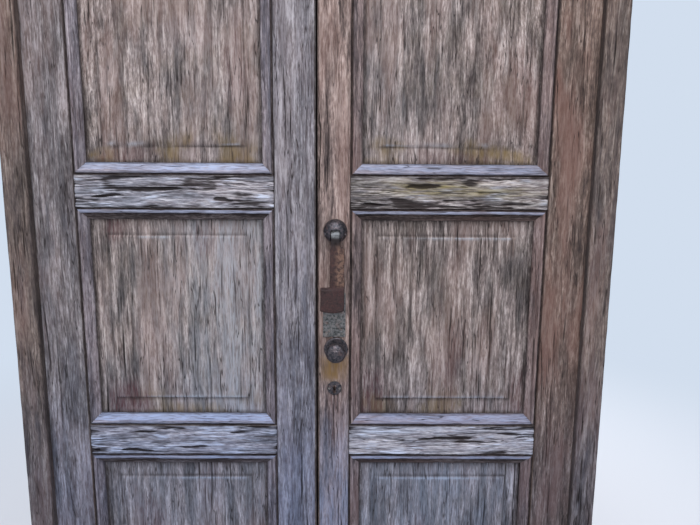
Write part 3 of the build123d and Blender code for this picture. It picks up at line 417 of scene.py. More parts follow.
ironLook = {
    "rust": "#6B3A2A", "rustLight": "#8F5B3E", "grainMm": 5.0, "pitMm": 1.6, "patchFactor": 3.5,
    "roughness": 0.55, "rustRoughness": 0.92, "metallic": 0.7, "bumpMm": 0.4, "bumpStrength": 0.8,
}
# The worn range breaks up the painted highlight.
ironRanges = {"rust": (0.4, 0.65), "worn": (0.35, 0.6, 0.35, 1.0), "rubbed": (0.38, 0.6, 0.1, 1.0)}


# Forged or cast iron, long outdoors: dark oxide, rubbed where it is handled, rust in patches, and a painted
# highlight where a look asks for one. It gives a dull broken sheen with warm matt blooms.
def agedIron(name, **changes):
    look = {**ironLook, **changes}
    material, tree = newMaterial(name)
    add = partial(addNode, tree)
    place = add("TexCoord", out="Object")
    sizes = ((look["grainMm"] * look["patchFactor"], 3.0), (look["pitMm"], 2.0), (look["grainMm"], 4.0))
    blotch, grit, medium = (
        add("TexNoise", Vector=place, Scale=1000 / size, Detail=detail, Roughness=0.6)
        for size, detail in sizes
    )
    colour = add("ValToRGB", medium, stops=[(0.3, look["dark"]), (0.62, look["metal"])])
    edge = 0.62 - 0.3 * look["rusty"]  # the rustier the piece, the more of the noise lies past this edge
    rusted = add("Math", blotch, 0.75, 0.5, **timesPlus)
    rusted = add("MapRange", rusted, edge + 0.35, edge + 0.55, **eased)
    rusted = add("Mix", 0.3, rusted, add("MapRange", medium, *ironRanges["rust"], **eased))
    rusted = add("Math", rusted, min(1.0, 2 * look["rusty"]), **limited)
    rustColour = add("ValToRGB", grit, stops=[(0.3, look["rust"]), (0.7, look["rustLight"])])
    colour = add("Mix", rusted, colour, rustColour, **over)
    if "sootyAbove" in look:

        # 0 to 1 over a height, from so far before it to so far after it, all in mm.
        def above(height, before, after):
            level = add("SeparateXYZ", place, out="Z")
            return add("MapRange", level, height * mm - before * mm, height * mm + after * mm, **eased)

        start, full = (x * mm for x in look["rubbedAcross"])
        # The worn mark is a painted highlight on the hammer's knuckle.
        sooty, worn, rubbed = (above(*look[mark]) for mark in ("sootyAbove", "highlightAbove", "rubbedAbove"))
        worn = add("Math", worn, add("MapRange", medium, *ironRanges["worn"], **eased), **times)
        beside = add("MapRange", add("SeparateXYZ", place, out="X"), start, full, 0.1, 1.0, **eased)
        rubbed = add("Math", rubbed, beside, **times)
        rubbed = add("Math", rubbed, add("MapRange", medium, *ironRanges["rubbed"], **eased), **times)
        for amount, tint in ((rubbed, "rubbed"), (sooty, "dark"), (worn, "worn")):
            colour = add("Mix", amount, colour, linear(look[tint]), **over)
    rough = add("MapRange", rusted, 0.0, 1.0, look["roughness"], look["rustRoughness"], **eased)
    shine = add("MapRange", rusted, 0.0, 0.8, look["metallic"], 0.0, **eased)
    height = add("Math", medium, add("Math", grit, 0.5, **times), **plus)
    bump = add("Bump", Height=height, Distance=look["bumpMm"] * mm, Strength=look["bumpStrength"])
    finish = {"Base_Color": colour, "Roughness": rough, "Metallic": shine, "Normal": bump}
    add("OutputMaterial", add("BsdfPrincipled", **finish))
    return material


# The mouldings' silver is bluer, as painted sky light on their slopes, and their darkest colour is dirt and
# painted shade.
mouldingOak = {"fibreMm": 2.5, "grime": "#1C1617", "silver": "#A3AFCB", "stain": "#5E4A3C"}
oak = {
    "leftHinge": weatheredOak("weatheredOakLeftHingeStile", base="#6E6766", light="#A9A3A4", redness=0.35),
    "rightHinge": weatheredOak("weatheredOakRightHingeStile", base="#6D5C53", light="#A3938A", redness=0.8),
    "leftMeeting": weatheredOak(
        "weatheredOakLeftMeetingStile", base="#6D696B", light="#A6A2A5", redness=0.2, silver="#9BA4BE",
    ),
    "rightMeeting": weatheredOak(
        "weatheredOakRightMeetingStile", base="#85736C", light="#C2B0A8", stain="#8C6F48", blotch="#5E352C",
    ),
    "rail": weatheredOak(
        "erodedOakRail", dark="#352D2C", base="#766E70", light="#CBC6C6", silver="#BFC6D6", crack="#241C1B",
        fibreMm=3.4, fibreLengthMm=30, streakMm=9, streakLengthMm=70, contrast=1.1, bumpMm=1.4,
        redness=0.25, stain="#857A50",
    ),
    "leftMoulding": weatheredOak(
        "weatheredOakLeftMoulding", **mouldingOak, base="#73696A", light="#ADA4A5", redness=0.3,
    ),
    "rightMoulding": weatheredOak(
        "weatheredOakRightMoulding", **mouldingOak, base="#7A6A66", light="#AE9E99", redness=0.6,
    ),
    "panel": weatheredOak(
        "weatheredOakPanel", base="#7F7470", cloud=0.46, bumpMm=1.1, silver="#A2A7AF", blotch="#57353A",
    ),
    "frame": weatheredOak("weatheredOakFrame", base="#64574F", light="#948880"),
}
# The worn mark paints a highlight: the hammer's knuckle in the boss's slot is pale, so that the boss shows a
# bright spot.
hammerMarks = {  # a height in mm, and how far before and after it the mark comes in
    "sootyAbove": (1228, 12, 12), "highlightAbove": (1247, 3, 12), "rubbedAbove": (1136, 3, 4),
    "rubbedAcross": (48, 60), "rubbed": "#72594C", "worn": "#A7ACAE",
}
iron = {
    "rusted": agedIron(
        "rustedForgedIron", metal="#2E2322", dark="#1F1717", rust="#291A1B", rustLight="#4A302E", rusty=0.9,
        grainMm=7.0, pitMm=2.4, bumpMm=0.6, **hammerMarks,
    ),
    "dark": agedIron(
        "pittedCastIron", metal="#55565C", dark="#232326", rusty=0.25, roughness=0.45, metallic=0.85,
    ),
    "strike": agedIron(
        "crustedIronPlate", metal="#85898A", dark="#232220", rusty=0.3, roughness=0.6, bumpMm=0.7,
    ),
    "plate": agedIron("blackenedIron", metal="#3D3A38", dark="#1F1C1A", rusty=0.4, grainMm=9),
    "steel": agedIron(
        "wornSteel", metal="#8E8B86", dark="#55514C", rusty=0.12, roughness=0.35, metallic=1.0,
    ),
}
print("materials made")

# Boards

leafBox = nodeBox("left_hinge_stile")
springHeight = leafBox[1][2]
leafEdge = -leafBox[0][0]
stileEdge = -leafBox[1][0]
leafBottom = leafBox[0][2]
thickness = leafBox[1][1]
meetingReach = -nodeBox("left_meeting_stile")[0][0]
leftEdge = nodeBox("left_meeting_stile")[1][0]
rightEdge = nodeBox("right_meeting_stile")[0][0]

joinery = {
    "grooveFront": 16.0, "grooveBack": 30.0, "grooveDepth": 14.0, "tenonLength": 60.0, "shoulder": 14.0,
    "tenonEase": 0.2, "meetingBevel": 2.2, "meetingSwell": 0.55,
}
wearLook = {  # a patch is the length and width over which a noise changes
    "wander": 5.0, "wanderPatch": (240, 40), "slope": 0.0, "ridgeMm": 5.0, "ridgeLength": 190,
    "ridgeDepth": 0.7, "ridgeEdge": 0.42, "sway": 0.5, "swayPatch": (310, 55), "checks": 16,
    "checkDepth": 3.5, "checkWidth": 1.7, "checkLength": (60, 320), "checkSway": 1.6, "erosion": 0.0,
    "erosionWide": 7.5, "erosionLong": 55.0, "twist": 4.5, "twistPatch": (60, 12), "hollows": (),
    # The front arrises' darkening is dirt and painted shade.
    "darkFrom": 0.9, "darkOver": 3.2, "edgeShade": 0.75, "dampShare": 1.0,
}
weathering = {
    "high": 1900.0, "low": 780.0, "highShare": 0.3, "dampFrom": 1050.0, "dampFull": 600.0,
    "dampFades": 150.0, "footCoolLight": 0.4,
}


# How silvered the wood is at a height in mm: least under the arch, most where rain splashes up.
def silverWithHeight(height, bleach):
    low = 1 - smooth(height, weathering["low"], weathering["high"])
    return bleach * (weathering["highShare"] + (1 - weathering["highShare"]) * low)


# How much painted cool light the wood takes at a height in mm, which makes it darker and bluer toward
# the foot: none above the upper height, full at the lower one, and only a share of it at the very foot.
def dampWithHeight(height):
    upper = 1 - smooth(height, weathering["dampFull"], weathering["dampFrom"])
    foot = smooth(height, weathering["dampFades"], weathering["dampFull"])
    return upper * (weathering["footCoolLight"] + (1 - weathering["footCoolLight"]) * foot)


# Depth worn off a face, in mm, at u along and v across the grain, for a face span wide. Ridges are
# thin grooves where a drawn-out noise crosses zero; checks are narrow spindle-shaped splits; erosion
# takes away the soft wood in long hollows with crisp lips.
def wornSurface(u, v, span, look):
    seed = look["seed"]

    # Noise with the patches that the look names.
    def patches(name, across, shift):
        long, wide = look[name + "Patch"]
        return noise(u / long, across / wide, seed + shift)

    bent = v + look["wander"] * patches("wander", v, 0) + look["slope"] * u
    fine = np.abs(noise(u / look["ridgeLength"], bent / look["ridgeMm"], seed + 1))
    worn = look["ridgeDepth"] * (1 - smooth(fine, 0.0, look["ridgeEdge"]))
    worn = worn + look["sway"] * (0.5 + 0.5 * patches("sway", v, 2))
    if look["erosion"]:
        wide, long = look["erosionWide"], look["erosionLong"]
        twist = bent + look["twist"] * patches("twist", bent, 3)
        soft = layered(u / long, twist / wide, seed + 4, 4, 0.6)
        lens = noise(u / (1.7 * long), twist / (1.9 * wide), seed + 6) + 0.35 * soft
        worn = worn + look["erosion"] * (0.45 * smooth(soft, -0.1, 0.4) + 0.25 * smooth(soft, -0.5, 0.1))
        worn = worn + look["erosion"] * 0.6 * smooth(lens, 0.12, 0.5)
    for share, height, length, width, depth in look["hollows"]:
        reach = (u / look["length"] - share) * look["length"] / (length / 2)
        level = height * span + width * 0.45 * noise(u / 45, share * 9, seed + 5)
        inside = np.clip(1 - reach**2, 0, 1) + 0.5 * layered(u / 26, bent / 3, seed + 19)
        worn = worn + depth * smooth(inside - ((bent - level) / (width / 2)) ** 2, 0, 0.7)
    rng = np.random.default_rng(seed)
    for _ in range(look["checks"]):
        half = rng.uniform(*look["checkLength"]) / 2
        middle, level = rng.uniform(0, look["length"]), rng.uniform(0.03, 0.97) * span
        width = look["checkWidth"] * rng.uniform(0.5, 1.2)
        taper = np.clip(1 - ((u - middle) / half) ** 2, 0, 1)
        path = level + look["checkSway"] * noise(u / 55, level, seed + 7)
        split = smooth(1 - np.abs(bent - path) / (width * (0.35 + 0.65 * taper)), 0, 0.8)
        worn = worn + look["checkDepth"] * taper**0.5 * split
    return worn


# The back and side darkening below is painted shade: on the back arrises, where the leaves meet, and on the
# boards' sides in the grooves and gaps.
boardWear = {
    "indoorShift": (900, 70), "indoorShare": 0.45, "sideWear": 0.25, "edgeRound": 3.0, "fray": 0.9,
    "frayLength": 25, "endWear": 1.0, "endReach": 2.2, "arris": (0.8, 3.6), "backShade": 0.95,
    "sideShade": 0.85, "arrisDark": 0.85, "crest": (0.5, 1.6), "crestPatch": (60, 8),
    "silverPatch": (110, 22), "seedShift": 1370.0,
}


# A board as its section carried along the grain, with its outer face worn. front and back name the
# section's sides that face outdoors and indoors; placePoint turns (distance along, across, depth)
# into a place; shape gives the face's own depth at (along, across). A look may hold functions of
# (along, across) for the stain, blotch, dirt and painted shade, and bleach (with a painted highlight
# on the panels) that it has at certain spots.
def board(corners, length, placePoint, look, front, back, step=1.6, alongStep=10.0, radius=2.0,
          extra=(), shape=None, trim=0.25, tenons=None, swollenPast=None):
    look, wear, seed = {**look, "length": length}, boardWear, look["seed"]
    section, normals, sides = outline(corners, step, radius)
    isFront, isBack = np.isin(sides, front), np.isin(sides, back)
    along = stations(length, alongStep, extra)
    u, v = along[:, None], section[None, :, 0]
    low, high = section[:, 0].min(), section[:, 0].max()
    toEdge = np.minimum(v - low, high - v)
    worn = wornSurface(u, v - low, high - low, look)
    sheltered = {**look, "erosion": 0, "hollows": (), "checks": 0}
    shiftAlong, shiftAcross = wear["indoorShift"]
    indoor = wornSurface(u + shiftAlong, v + shiftAcross, high - low, sheltered) * wear["indoorShare"]
    roundEdge = smooth(toEdge, 0, wear["edgeRound"])
    frayed = wear["fray"] * (1 - roundEdge) * (0.6 + 0.4 * noise(u / wear["frayLength"], v * 0, seed + 11))
    outer = worn * (0.35 + 0.65 * roundEdge) + frayed
    worn = np.where(isFront, outer, np.where(isBack, indoor, wear["sideWear"])) + trim
    if swollenPast:
        meets = (section[:, 0] > swollenPast) & (section[:, 1] > radius / 2)
        worn = np.where(meets, -joinery["meetingSwell"], worn)
    nearEnd = 1 - smooth(np.minimum(u, length - u), 0, wear["endReach"])
    worn = worn + np.where(isFront, wear["endWear"] * nearEnd, 0)
    face = shape(u, v) if shape else 0
    across = section[None, :, 0] - worn * normals[None, :, 0]
    depth = section[None, :, 1] - worn * normals[None, :, 1] + np.where(isFront, face, 0)
    rings = placePoint(*np.broadcast_arrays(u, across, depth))

    # What the look's own function gives, or 0.
    def spots(name):
        return look[name](u, v) if name in look else 0.0

    taken = worn - trim
    # Dirt and painted shade along the arrises and on the sides; near the back arrises the indoor colour gives
    # way to it.
    nearArris = 1 - smooth(toEdge, *wear["arris"])
    backShade = np.where(isBack, wear["backShade"] * nearArris, wear["sideShade"])
    grime = np.where(isFront, look["edgeShade"] * nearArris, backShade)
    grime = np.maximum(grime, np.where(isFront, spots("grimeAt"), 0.0))
    patchLong, patchWide = wear["crestPatch"]
    proud = smooth(layered(u / patchLong, v / patchWide, seed + 17), -0.1, 0.3)
    crest = look.get("crest", 0) * (1 - smooth(taken, *wear["crest"])) * proud
    patchLong, patchWide = wear["silverPatch"]
    silver = silverWithHeight(rings[..., 2], look["bleach"]) + spots("bleachAt")
    patchy = smooth(layered(u / patchLong, v / patchWide, seed + 15), -0.3, 0.3)
    shades = shadesOf(
        worn,
        hollow=np.clip((taken - look["darkFrom"]) / look["darkOver"], 0, 1),
        bleach=silver * (0.6 + 0.4 * patchy) + crest,
        stain=spots("stainAt"),
        inside=isBack * (1 - wear["arrisDark"] * nearArris),
        grime=grime,
        blotch=spots("blotchAt"),
        damp=look["dampShare"] * dampWithHeight(rings[..., 2]),
    )
    for name in ("hollow", "bleach", "stain", "blotch", "damp"):
        shades[name] = np.where(isFront, shades[name], 0.0)
    if tenons:
        far = tenons["length"]
        held = [np.clip(section[:, 0], *tenons["across"]), np.clip(section[:, 1], *tenons["depth"])]
        reaches = (-far, 0.0, length, length + far)
        tip, root, farRoot, farTip = (placePoint(np.full(len(section), reach), *held) for reach in reaches)
        rings = np.concatenate([[tip], [root], rings, [farRoot], [farTip]])
        along = np.concatenate([[-far - 0.1], [-0.1], along, [length + 0.1], [length + far]])
        for name, value in shades.items():
            shades[name] = np.concatenate([value[:1], value[:1], value, value[-1:], value[-1:]])
    shift = seed * wear["seedShift"]
    return skin(rings, along + shift, perimeter(section) + shift * 0.31, shades)


# A board's section from its outer face round to its inner one, with the panels' grooves, and the
# numbers of its outer and inner sides.
def groovedSection(width, left, right):
    front, back, deep = joinery["grooveFront"], joinery["grooveBack"], joinery["grooveDepth"]
    corners = [(0, 0, True, 1.0), (width, 0, True, 6.0)]
    if right:
        corners += [(width, front, False, 9), (width - deep, front, False, 9)]
        corners += [(width - deep, back, False, 9), (width, back, False, 9)]
    corners += [(width, thickness, True, 3.0), (0, thickness, True, 6.0)]
    backSide = len(corners) - 2
    if left:
        corners += [(0, back, False, 9), (deep, back, False, 9)]
        corners += [(deep, front, False, 9), (0, front, False, 9)]
    return corners, [0], [backSide]


stileLook = {**wearLook, "checks": 26, "ridgeDepth": 0.8}
hingeStiles = {
    "left": {**stileLook, "seed": 11, "slope": 0.05, "bleach": 0.2},
    "right": {**stileLook, "seed": 12, "slope": -0.06, "bleach": 0.03, "wander": 9.0},
}


# An upright board from the leaf's foot to the springing line, grooved on its inner edge.
def makeHingeStile(side):
    sign = -1 if side == "left" else 1
    corners, front, back = groovedSection(leafEdge - stileEdge, False, True)

    # s runs up from the leaf's foot, and a in from its hinge edge.
    def place(s, a, y):
        return np.stack([sign * (leafEdge - a), y, leafBottom + s], -1)

    made = board(corners, springHeight - leafBottom, place, hingeStiles[side], front, back)
    piece = makePiece(f"{side}HingeStile", [made], oak[f"{side}Hinge"])
    return fit(piece, f"{side}_hinge_stile")


# The height of an arc of that radius about the springing line's middle, at x.
def archHeight(radius, x):
    return springHeight + np.sqrt(np.maximum(radius**2 - x**2, 0))


# How long such an arc is from the springing line to the meeting stile.
def arcLength(radius):
    return radius * (math.pi - math.acos(-meetingReach / radius))


# A place on the leaf's arch: s out of length round an arc of that radius, which ends reach from the middle.
def roundArch(s, length, radius, reach, y, sign):
    finish = np.arccos(-reach / radius)
    angle = math.pi - (s / length) * (math.pi - finish)
    return np.stack([sign * radius * np.cos(angle), y, springHeight + radius * np.sin(angle)], -1)


meetingStiles = {
    "left": {**stileLook, "seed": 21, "slope": 0.02, "bleach": 0.25},
    "right": {**stileLook, "seed": 22, "slope": -0.02, "bleach": 0.06},
}
plateLow, plateHigh = nodeBox("keyhole_escutcheon")
plateX, plateZ = (plateLow[0] + plateHigh[0]) / 2, (plateLow[2] + plateHigh[2]) / 2
keyhole = {"x": plateX, "z": plateZ - 4, "radius": 7.5, "edge": 1.5, "depth": 16.0, "around": 9}
handled = {  # bare yellow wood under the knob
    "low": 897.0, "lowFade": 25, "high": 958.0, "highFade": 20, "halfWidth": 34.0, "strength": 1.35,
    "patch": (30, 12), "seed": 77,
}
rustRun = {  # what rain washed out of the lock
    "low": 700.0, "lowFade": 90, "high": 874.0, "highFade": 8, "halfWidth": 15.0, "strength": 0.75,
    "patch": (60, 7), "seed": 78,
}
greyFoot = {"strength": 0.5, "full": 690, "gone": 860, "ragged": 30, "patch": (90, 12), "seed": 79}


# A smear in line with the keyhole: a band of heights times a bell across it times noise.
def smearAt(smear, s, a):
    z, (long, wide) = s + leafBottom, smear["patch"]
    band = smooth(z, smear["low"], smear["low"] + smear["lowFade"])
    band = band * (1 - smooth(z, smear["high"], smear["high"] + smear["highFade"]))
    across = bell(meetingReach - a - keyhole["x"], 0.0, smear["halfWidth"])
    return smear["strength"] * band * across * (0.7 + 0.6 * layered(s / long, a / wide, smear["seed"]))


# Grey wood at the foot, up to a ragged edge.
def greyedAt(s, a):
    long, wide = greyFoot["patch"]
    ragged = greyFoot["ragged"] * noise(s / long, a / wide, greyFoot["seed"])
    return greyFoot["strength"] * (1 - smooth(s + leafBottom + ragged, greyFoot["full"], greyFoot["gone"]))


# The hole for the key, as a round pit in the face.
def keyPit(s, a):
    away = np.hypot(a - meetingReach + keyhole["x"], s + leafBottom - keyhole["z"])
    return keyhole["depth"] * (1 - smooth(away, keyhole["radius"] - keyhole["edge"], keyhole["radius"]))


meetingStiles["right"] |= {
    "stainAt": partial(smearAt, handled), "blotchAt": partial(smearAt, rustRun), "bleachAt": greyedAt,
}


# An upright board by the middle line, bevelled on its outer arris, with its top cut to the arch.
def makeMeetingStile(side):
    sign = 1 if side == "left" else -1
    edge = leftEdge if side == "left" else -rightEdge
    width = meetingReach + edge
    corners, front, back = groovedSection(width, True, False)
    corners[1] = (width - joinery["meetingBevel"], 0, True, 6.0)
    length = archHeight(leafEdge, 0.0) - leafBottom

    # a runs toward the meeting line, and s up by its share of the height of the arch there.
    def place(s, a, y):
        x = a - meetingReach
        z = leafBottom + s * (archHeight(leafEdge, x) - leafBottom) / length
        return np.stack([sign * x, y, z], -1)

    reach = keyhole["around"]
    nearKey = keyhole["z"] - leafBottom + np.arange(-reach, reach + 0.1, keyhole["edge"])
    made = board(corners, length, place, meetingStiles[side], front, back, extra=nearKey,
                 shape=keyPit if side == "right" else None, swollenPast=width - joinery["meetingBevel"] - 1)
    piece = makePiece(f"{side}MeetingStile", [made], oak[f"{side}Meeting"])
    return fit(piece, f"{side}_meeting_stile")


railLook = {
    **wearLook, "ridgeLength": 70, "ridgeDepth": 0.9, "erosion": 4.2, "checks": 9, "checkDepth": 3.0,
    "checkLength": (50, 200), "wander": 4.0, "darkFrom": 2.1, "darkOver": 3.6, "crest": 0.75,
}
olive = {  # each spot's place along and up the rail, its length and height, and its share
    "spots": ((270, 48, 95, 16, 1.0), (120, 40, 90, 12, 0.55)), "everywhere": 0.15, "strength": 0.95,
}


# The yellowish stretch of the upper right rail, toward the meeting stile and over its middle.
def oliveBand(s, a):
    total = 0.0
    for middle, level, long, tall, share in olive["spots"]:
        total = total + share * (bell(a, level, tall) * bell(s, middle, long))
    return olive["strength"] * np.clip(total + olive["everywhere"], 0, 1)


bottomRailLook = {**railLook, "erosion": 3.0, "erosionWide": 15, "bleach": 0.1, "crest": 0.4}
rails = {  # hollows: place along and up the rail as shares, then length, width and depth in mm
    "left_upper_rail": {
        **railLook, "seed": 31, "bleach": 0.72,
        "hollows": ((0.42, 0.55, 130, 11, 5), (0.16, 0.36, 80, 8, 5), (0.74, 0.24, 55, 9, 5),
                    (0.8, 0.7, 60, 5, 3)),
    },
    "right_upper_rail": {
        **railLook, "seed": 32, "bleach": 0.24, "crest": 0.6, "stainAt": oliveBand,
        "hollows": ((0.68, 0.74, 130, 12, 2.2), (0.9, 0.14, 60, 7, 4), (0.38, 0.2, 60, 6, 4),
                    (0.3, 0.55, 60, 5, 3)),
    },
    "left_lower_rail": {
        **railLook, "seed": 33, "bleach": 0.5,
        "hollows": ((0.3, 0.8, 70, 9, 4), (0.6, 0.45, 120, 6, 3), (0.03, 0.12, 14, 9, 5),
                    (0.24, 0.12, 90, 10, 5), (0.55, 0.2, 70, 8, 4), (0.8, 0.75, 60, 6, 4)),
    },
    "right_lower_rail": {
        **railLook, "seed": 34, "bleach": 0.6, "dampShare": 0.3, "hollows": ((0.5, 0.5, 140, 8, 4),),
    },
    "left_bottom_rail": {**bottomRailLook, "seed": 35},
    "right_bottom_rail": {**bottomRailLook, "seed": 36},
}


# A level board between the stiles, with a tenon at either end that reaches into them.
def makeRail(side, row):
    node = f"{side}_{row}_rail"
    sign = -1 if side == "left" else 1
    low, high = nodeBox(node)
    bottom, tall = low[2], high[2] - low[2]
    corners, front, back = groovedSection(tall, row != "bottom", True)

    # s runs from the hinge stile to the meeting stile, and a up from the lower edge.
    def place(s, a, y):
        return np.stack([sign * (stileEdge - s), y, bottom + a], -1)

    ease = joinery["tenonEase"]
    tenons = {
        "across": (joinery["shoulder"], tall - joinery["shoulder"]),
        "depth": (joinery["grooveFront"] + ease, joinery["grooveBack"] - ease),
        "length": joinery["tenonLength"],
    }
    step = 1.5 if row == "bottom" else 1.0
    made = board(corners, stileEdge - meetingReach, place, rails[node], front, back, step=step,
                 alongStep=4.0, tenons=tenons)
    piece = makePiece(f"{side}{row.title()}Rail", [made], oak["rail"])
    mergeClose(piece.data)
    return fit(piece, node)


archedRails = {
    "left": {**stileLook, "seed": 41, "bleach": 0.25},
    "right": {**stileLook, "seed": 42, "bleach": 0.25},
}


# The leaf's head: the section carried round the arc, cut where the meeting stile stands.
def makeArchedRail(side):
    sign = 1 if side == "left" else -1
    corners, front, back = groovedSection(leafEdge - stileEdge, False, True)
    length = arcLength((leafEdge + stileEdge) / 2)

    # s runs round the arc, and a in from its outer edge.
    def place(s, a, y):
        return roundArch(s, length, leafEdge - a, meetingReach, y, sign)

    made = board(corners, length, place, archedRails[side], front, back)
    piece = makePiece(f"{side}ArchedRail", [made], oak[f"{side}Hinge"])
    return fit(piece, f"{side}_arched_rail")


for side in ("left", "right"):
    makeHingeStile(side)
    makeMeetingStile(side)
    makeArchedRail(side)
    for row in ("bottom", "lower", "upper"):
        makeRail(side, row)
print("stiles and rails made")

# Panels: a tongue all round, a flat margin, and a field raised over a short bevel.
panelShape = {
    "tongue": 12.0, "fieldInset": 62.0, "sight": 26.0, "fieldRise": 4.0, "bevel": 4.5, "front": 16.0,
    "back": 30.0, "stations": (-1, 0, 2.2, 4.5, 6),
}
panelLook = {
    **wearLook, "ridgeMm": 6.5, "ridgeLength": 230, "ridgeDepth": 0.55, "sway": 0.3, "checks": 64,
    "checkDepth": 2.8, "checkWidth": 1.9, "checkLength": (50, 260), "wander": 3.0, "darkFrom": 0.8,
    "darkOver": 3.0,
}
panelSeeds = {"bottom": 3, "middle": 2, "top": 1}
panelStains = {"top": 0.75, "middle": 0.6, "bottom": 0.5}
panelBleach = {"left": 0.2, "right": 0.08}
# Where the silvered part begins and is full, as shares across from the hinge side, and its strength.
panelSilver = {
    "left_middle_panel": (0.3, 0.85, 0.6), "left_bottom_panel": (0.0, 0.3, 0.1),
    "left_top_panel": (0.2, 0.6, 0.08), "right_middle_panel": (0.3, 0.8, 0.02),
    "right_bottom_panel": (0.0, 0.3, 0.4), "right_top_panel": (0.3, 0.9, 0.15),
}
# Each blotch's shares across from the hinge side and up, then its width and height in mm and its strength.
panelBlotches = {
    "left_middle_panel": ((0.2, 0.9, 60, 90, 0.8), (0.22, 0.13, 110, 110, 0.85), (0.62, 0.85, 60, 120, 0.35)),
    "right_middle_panel": (
        (0.9, 0.14, 110, 180, 0.75), (0.1, 0.15, 60, 160, 0.6), (0.45, 0.3, 50, 260, 0.35),
    ),
    "left_top_panel": ((0.3, 0.07, 160, 60, 0.4), (0.8, 0.25, 60, 200, 0.3)),
    "right_top_panel": ((0.12, 0.3, 90, 260, 0.25), (0.5, 0.06, 200, 40, 0.35)),
    "left_bottom_panel": ((0.3, 0.6, 70, 200, 0.4),),
    "right_bottom_panel": ((0.6, 0.5, 70, 240, 0.45),),
}
panelMarks = {  # where a mark starts and is full or gone, in mm, and how long and wide its patches are
    # The arris mark is a painted highlight.
    "arrisWide": 1.8, "arrisEnds": (8, 20), "arrisPatch": (60, 60), "arrisHighlight": 0.9,
    "stainHigh": (18, 75), "stainRagged": 14, "stainPatch": (40, 75), "stainAbove": 0.12,
    # The dark marks beside, below and above, and at the field's foot, are painted shade.
    "grimeBeside": (1.5, 11), "grimeBelow": (1, 9), "grimeAbove": (2, 14), "grimeFootWide": 1.7,
    "blotchRagged": 0.45, "blotchEdge": (0.45, 1.15), "blotchPatch": (70, 9), "silverPatch": (160, 40),
}


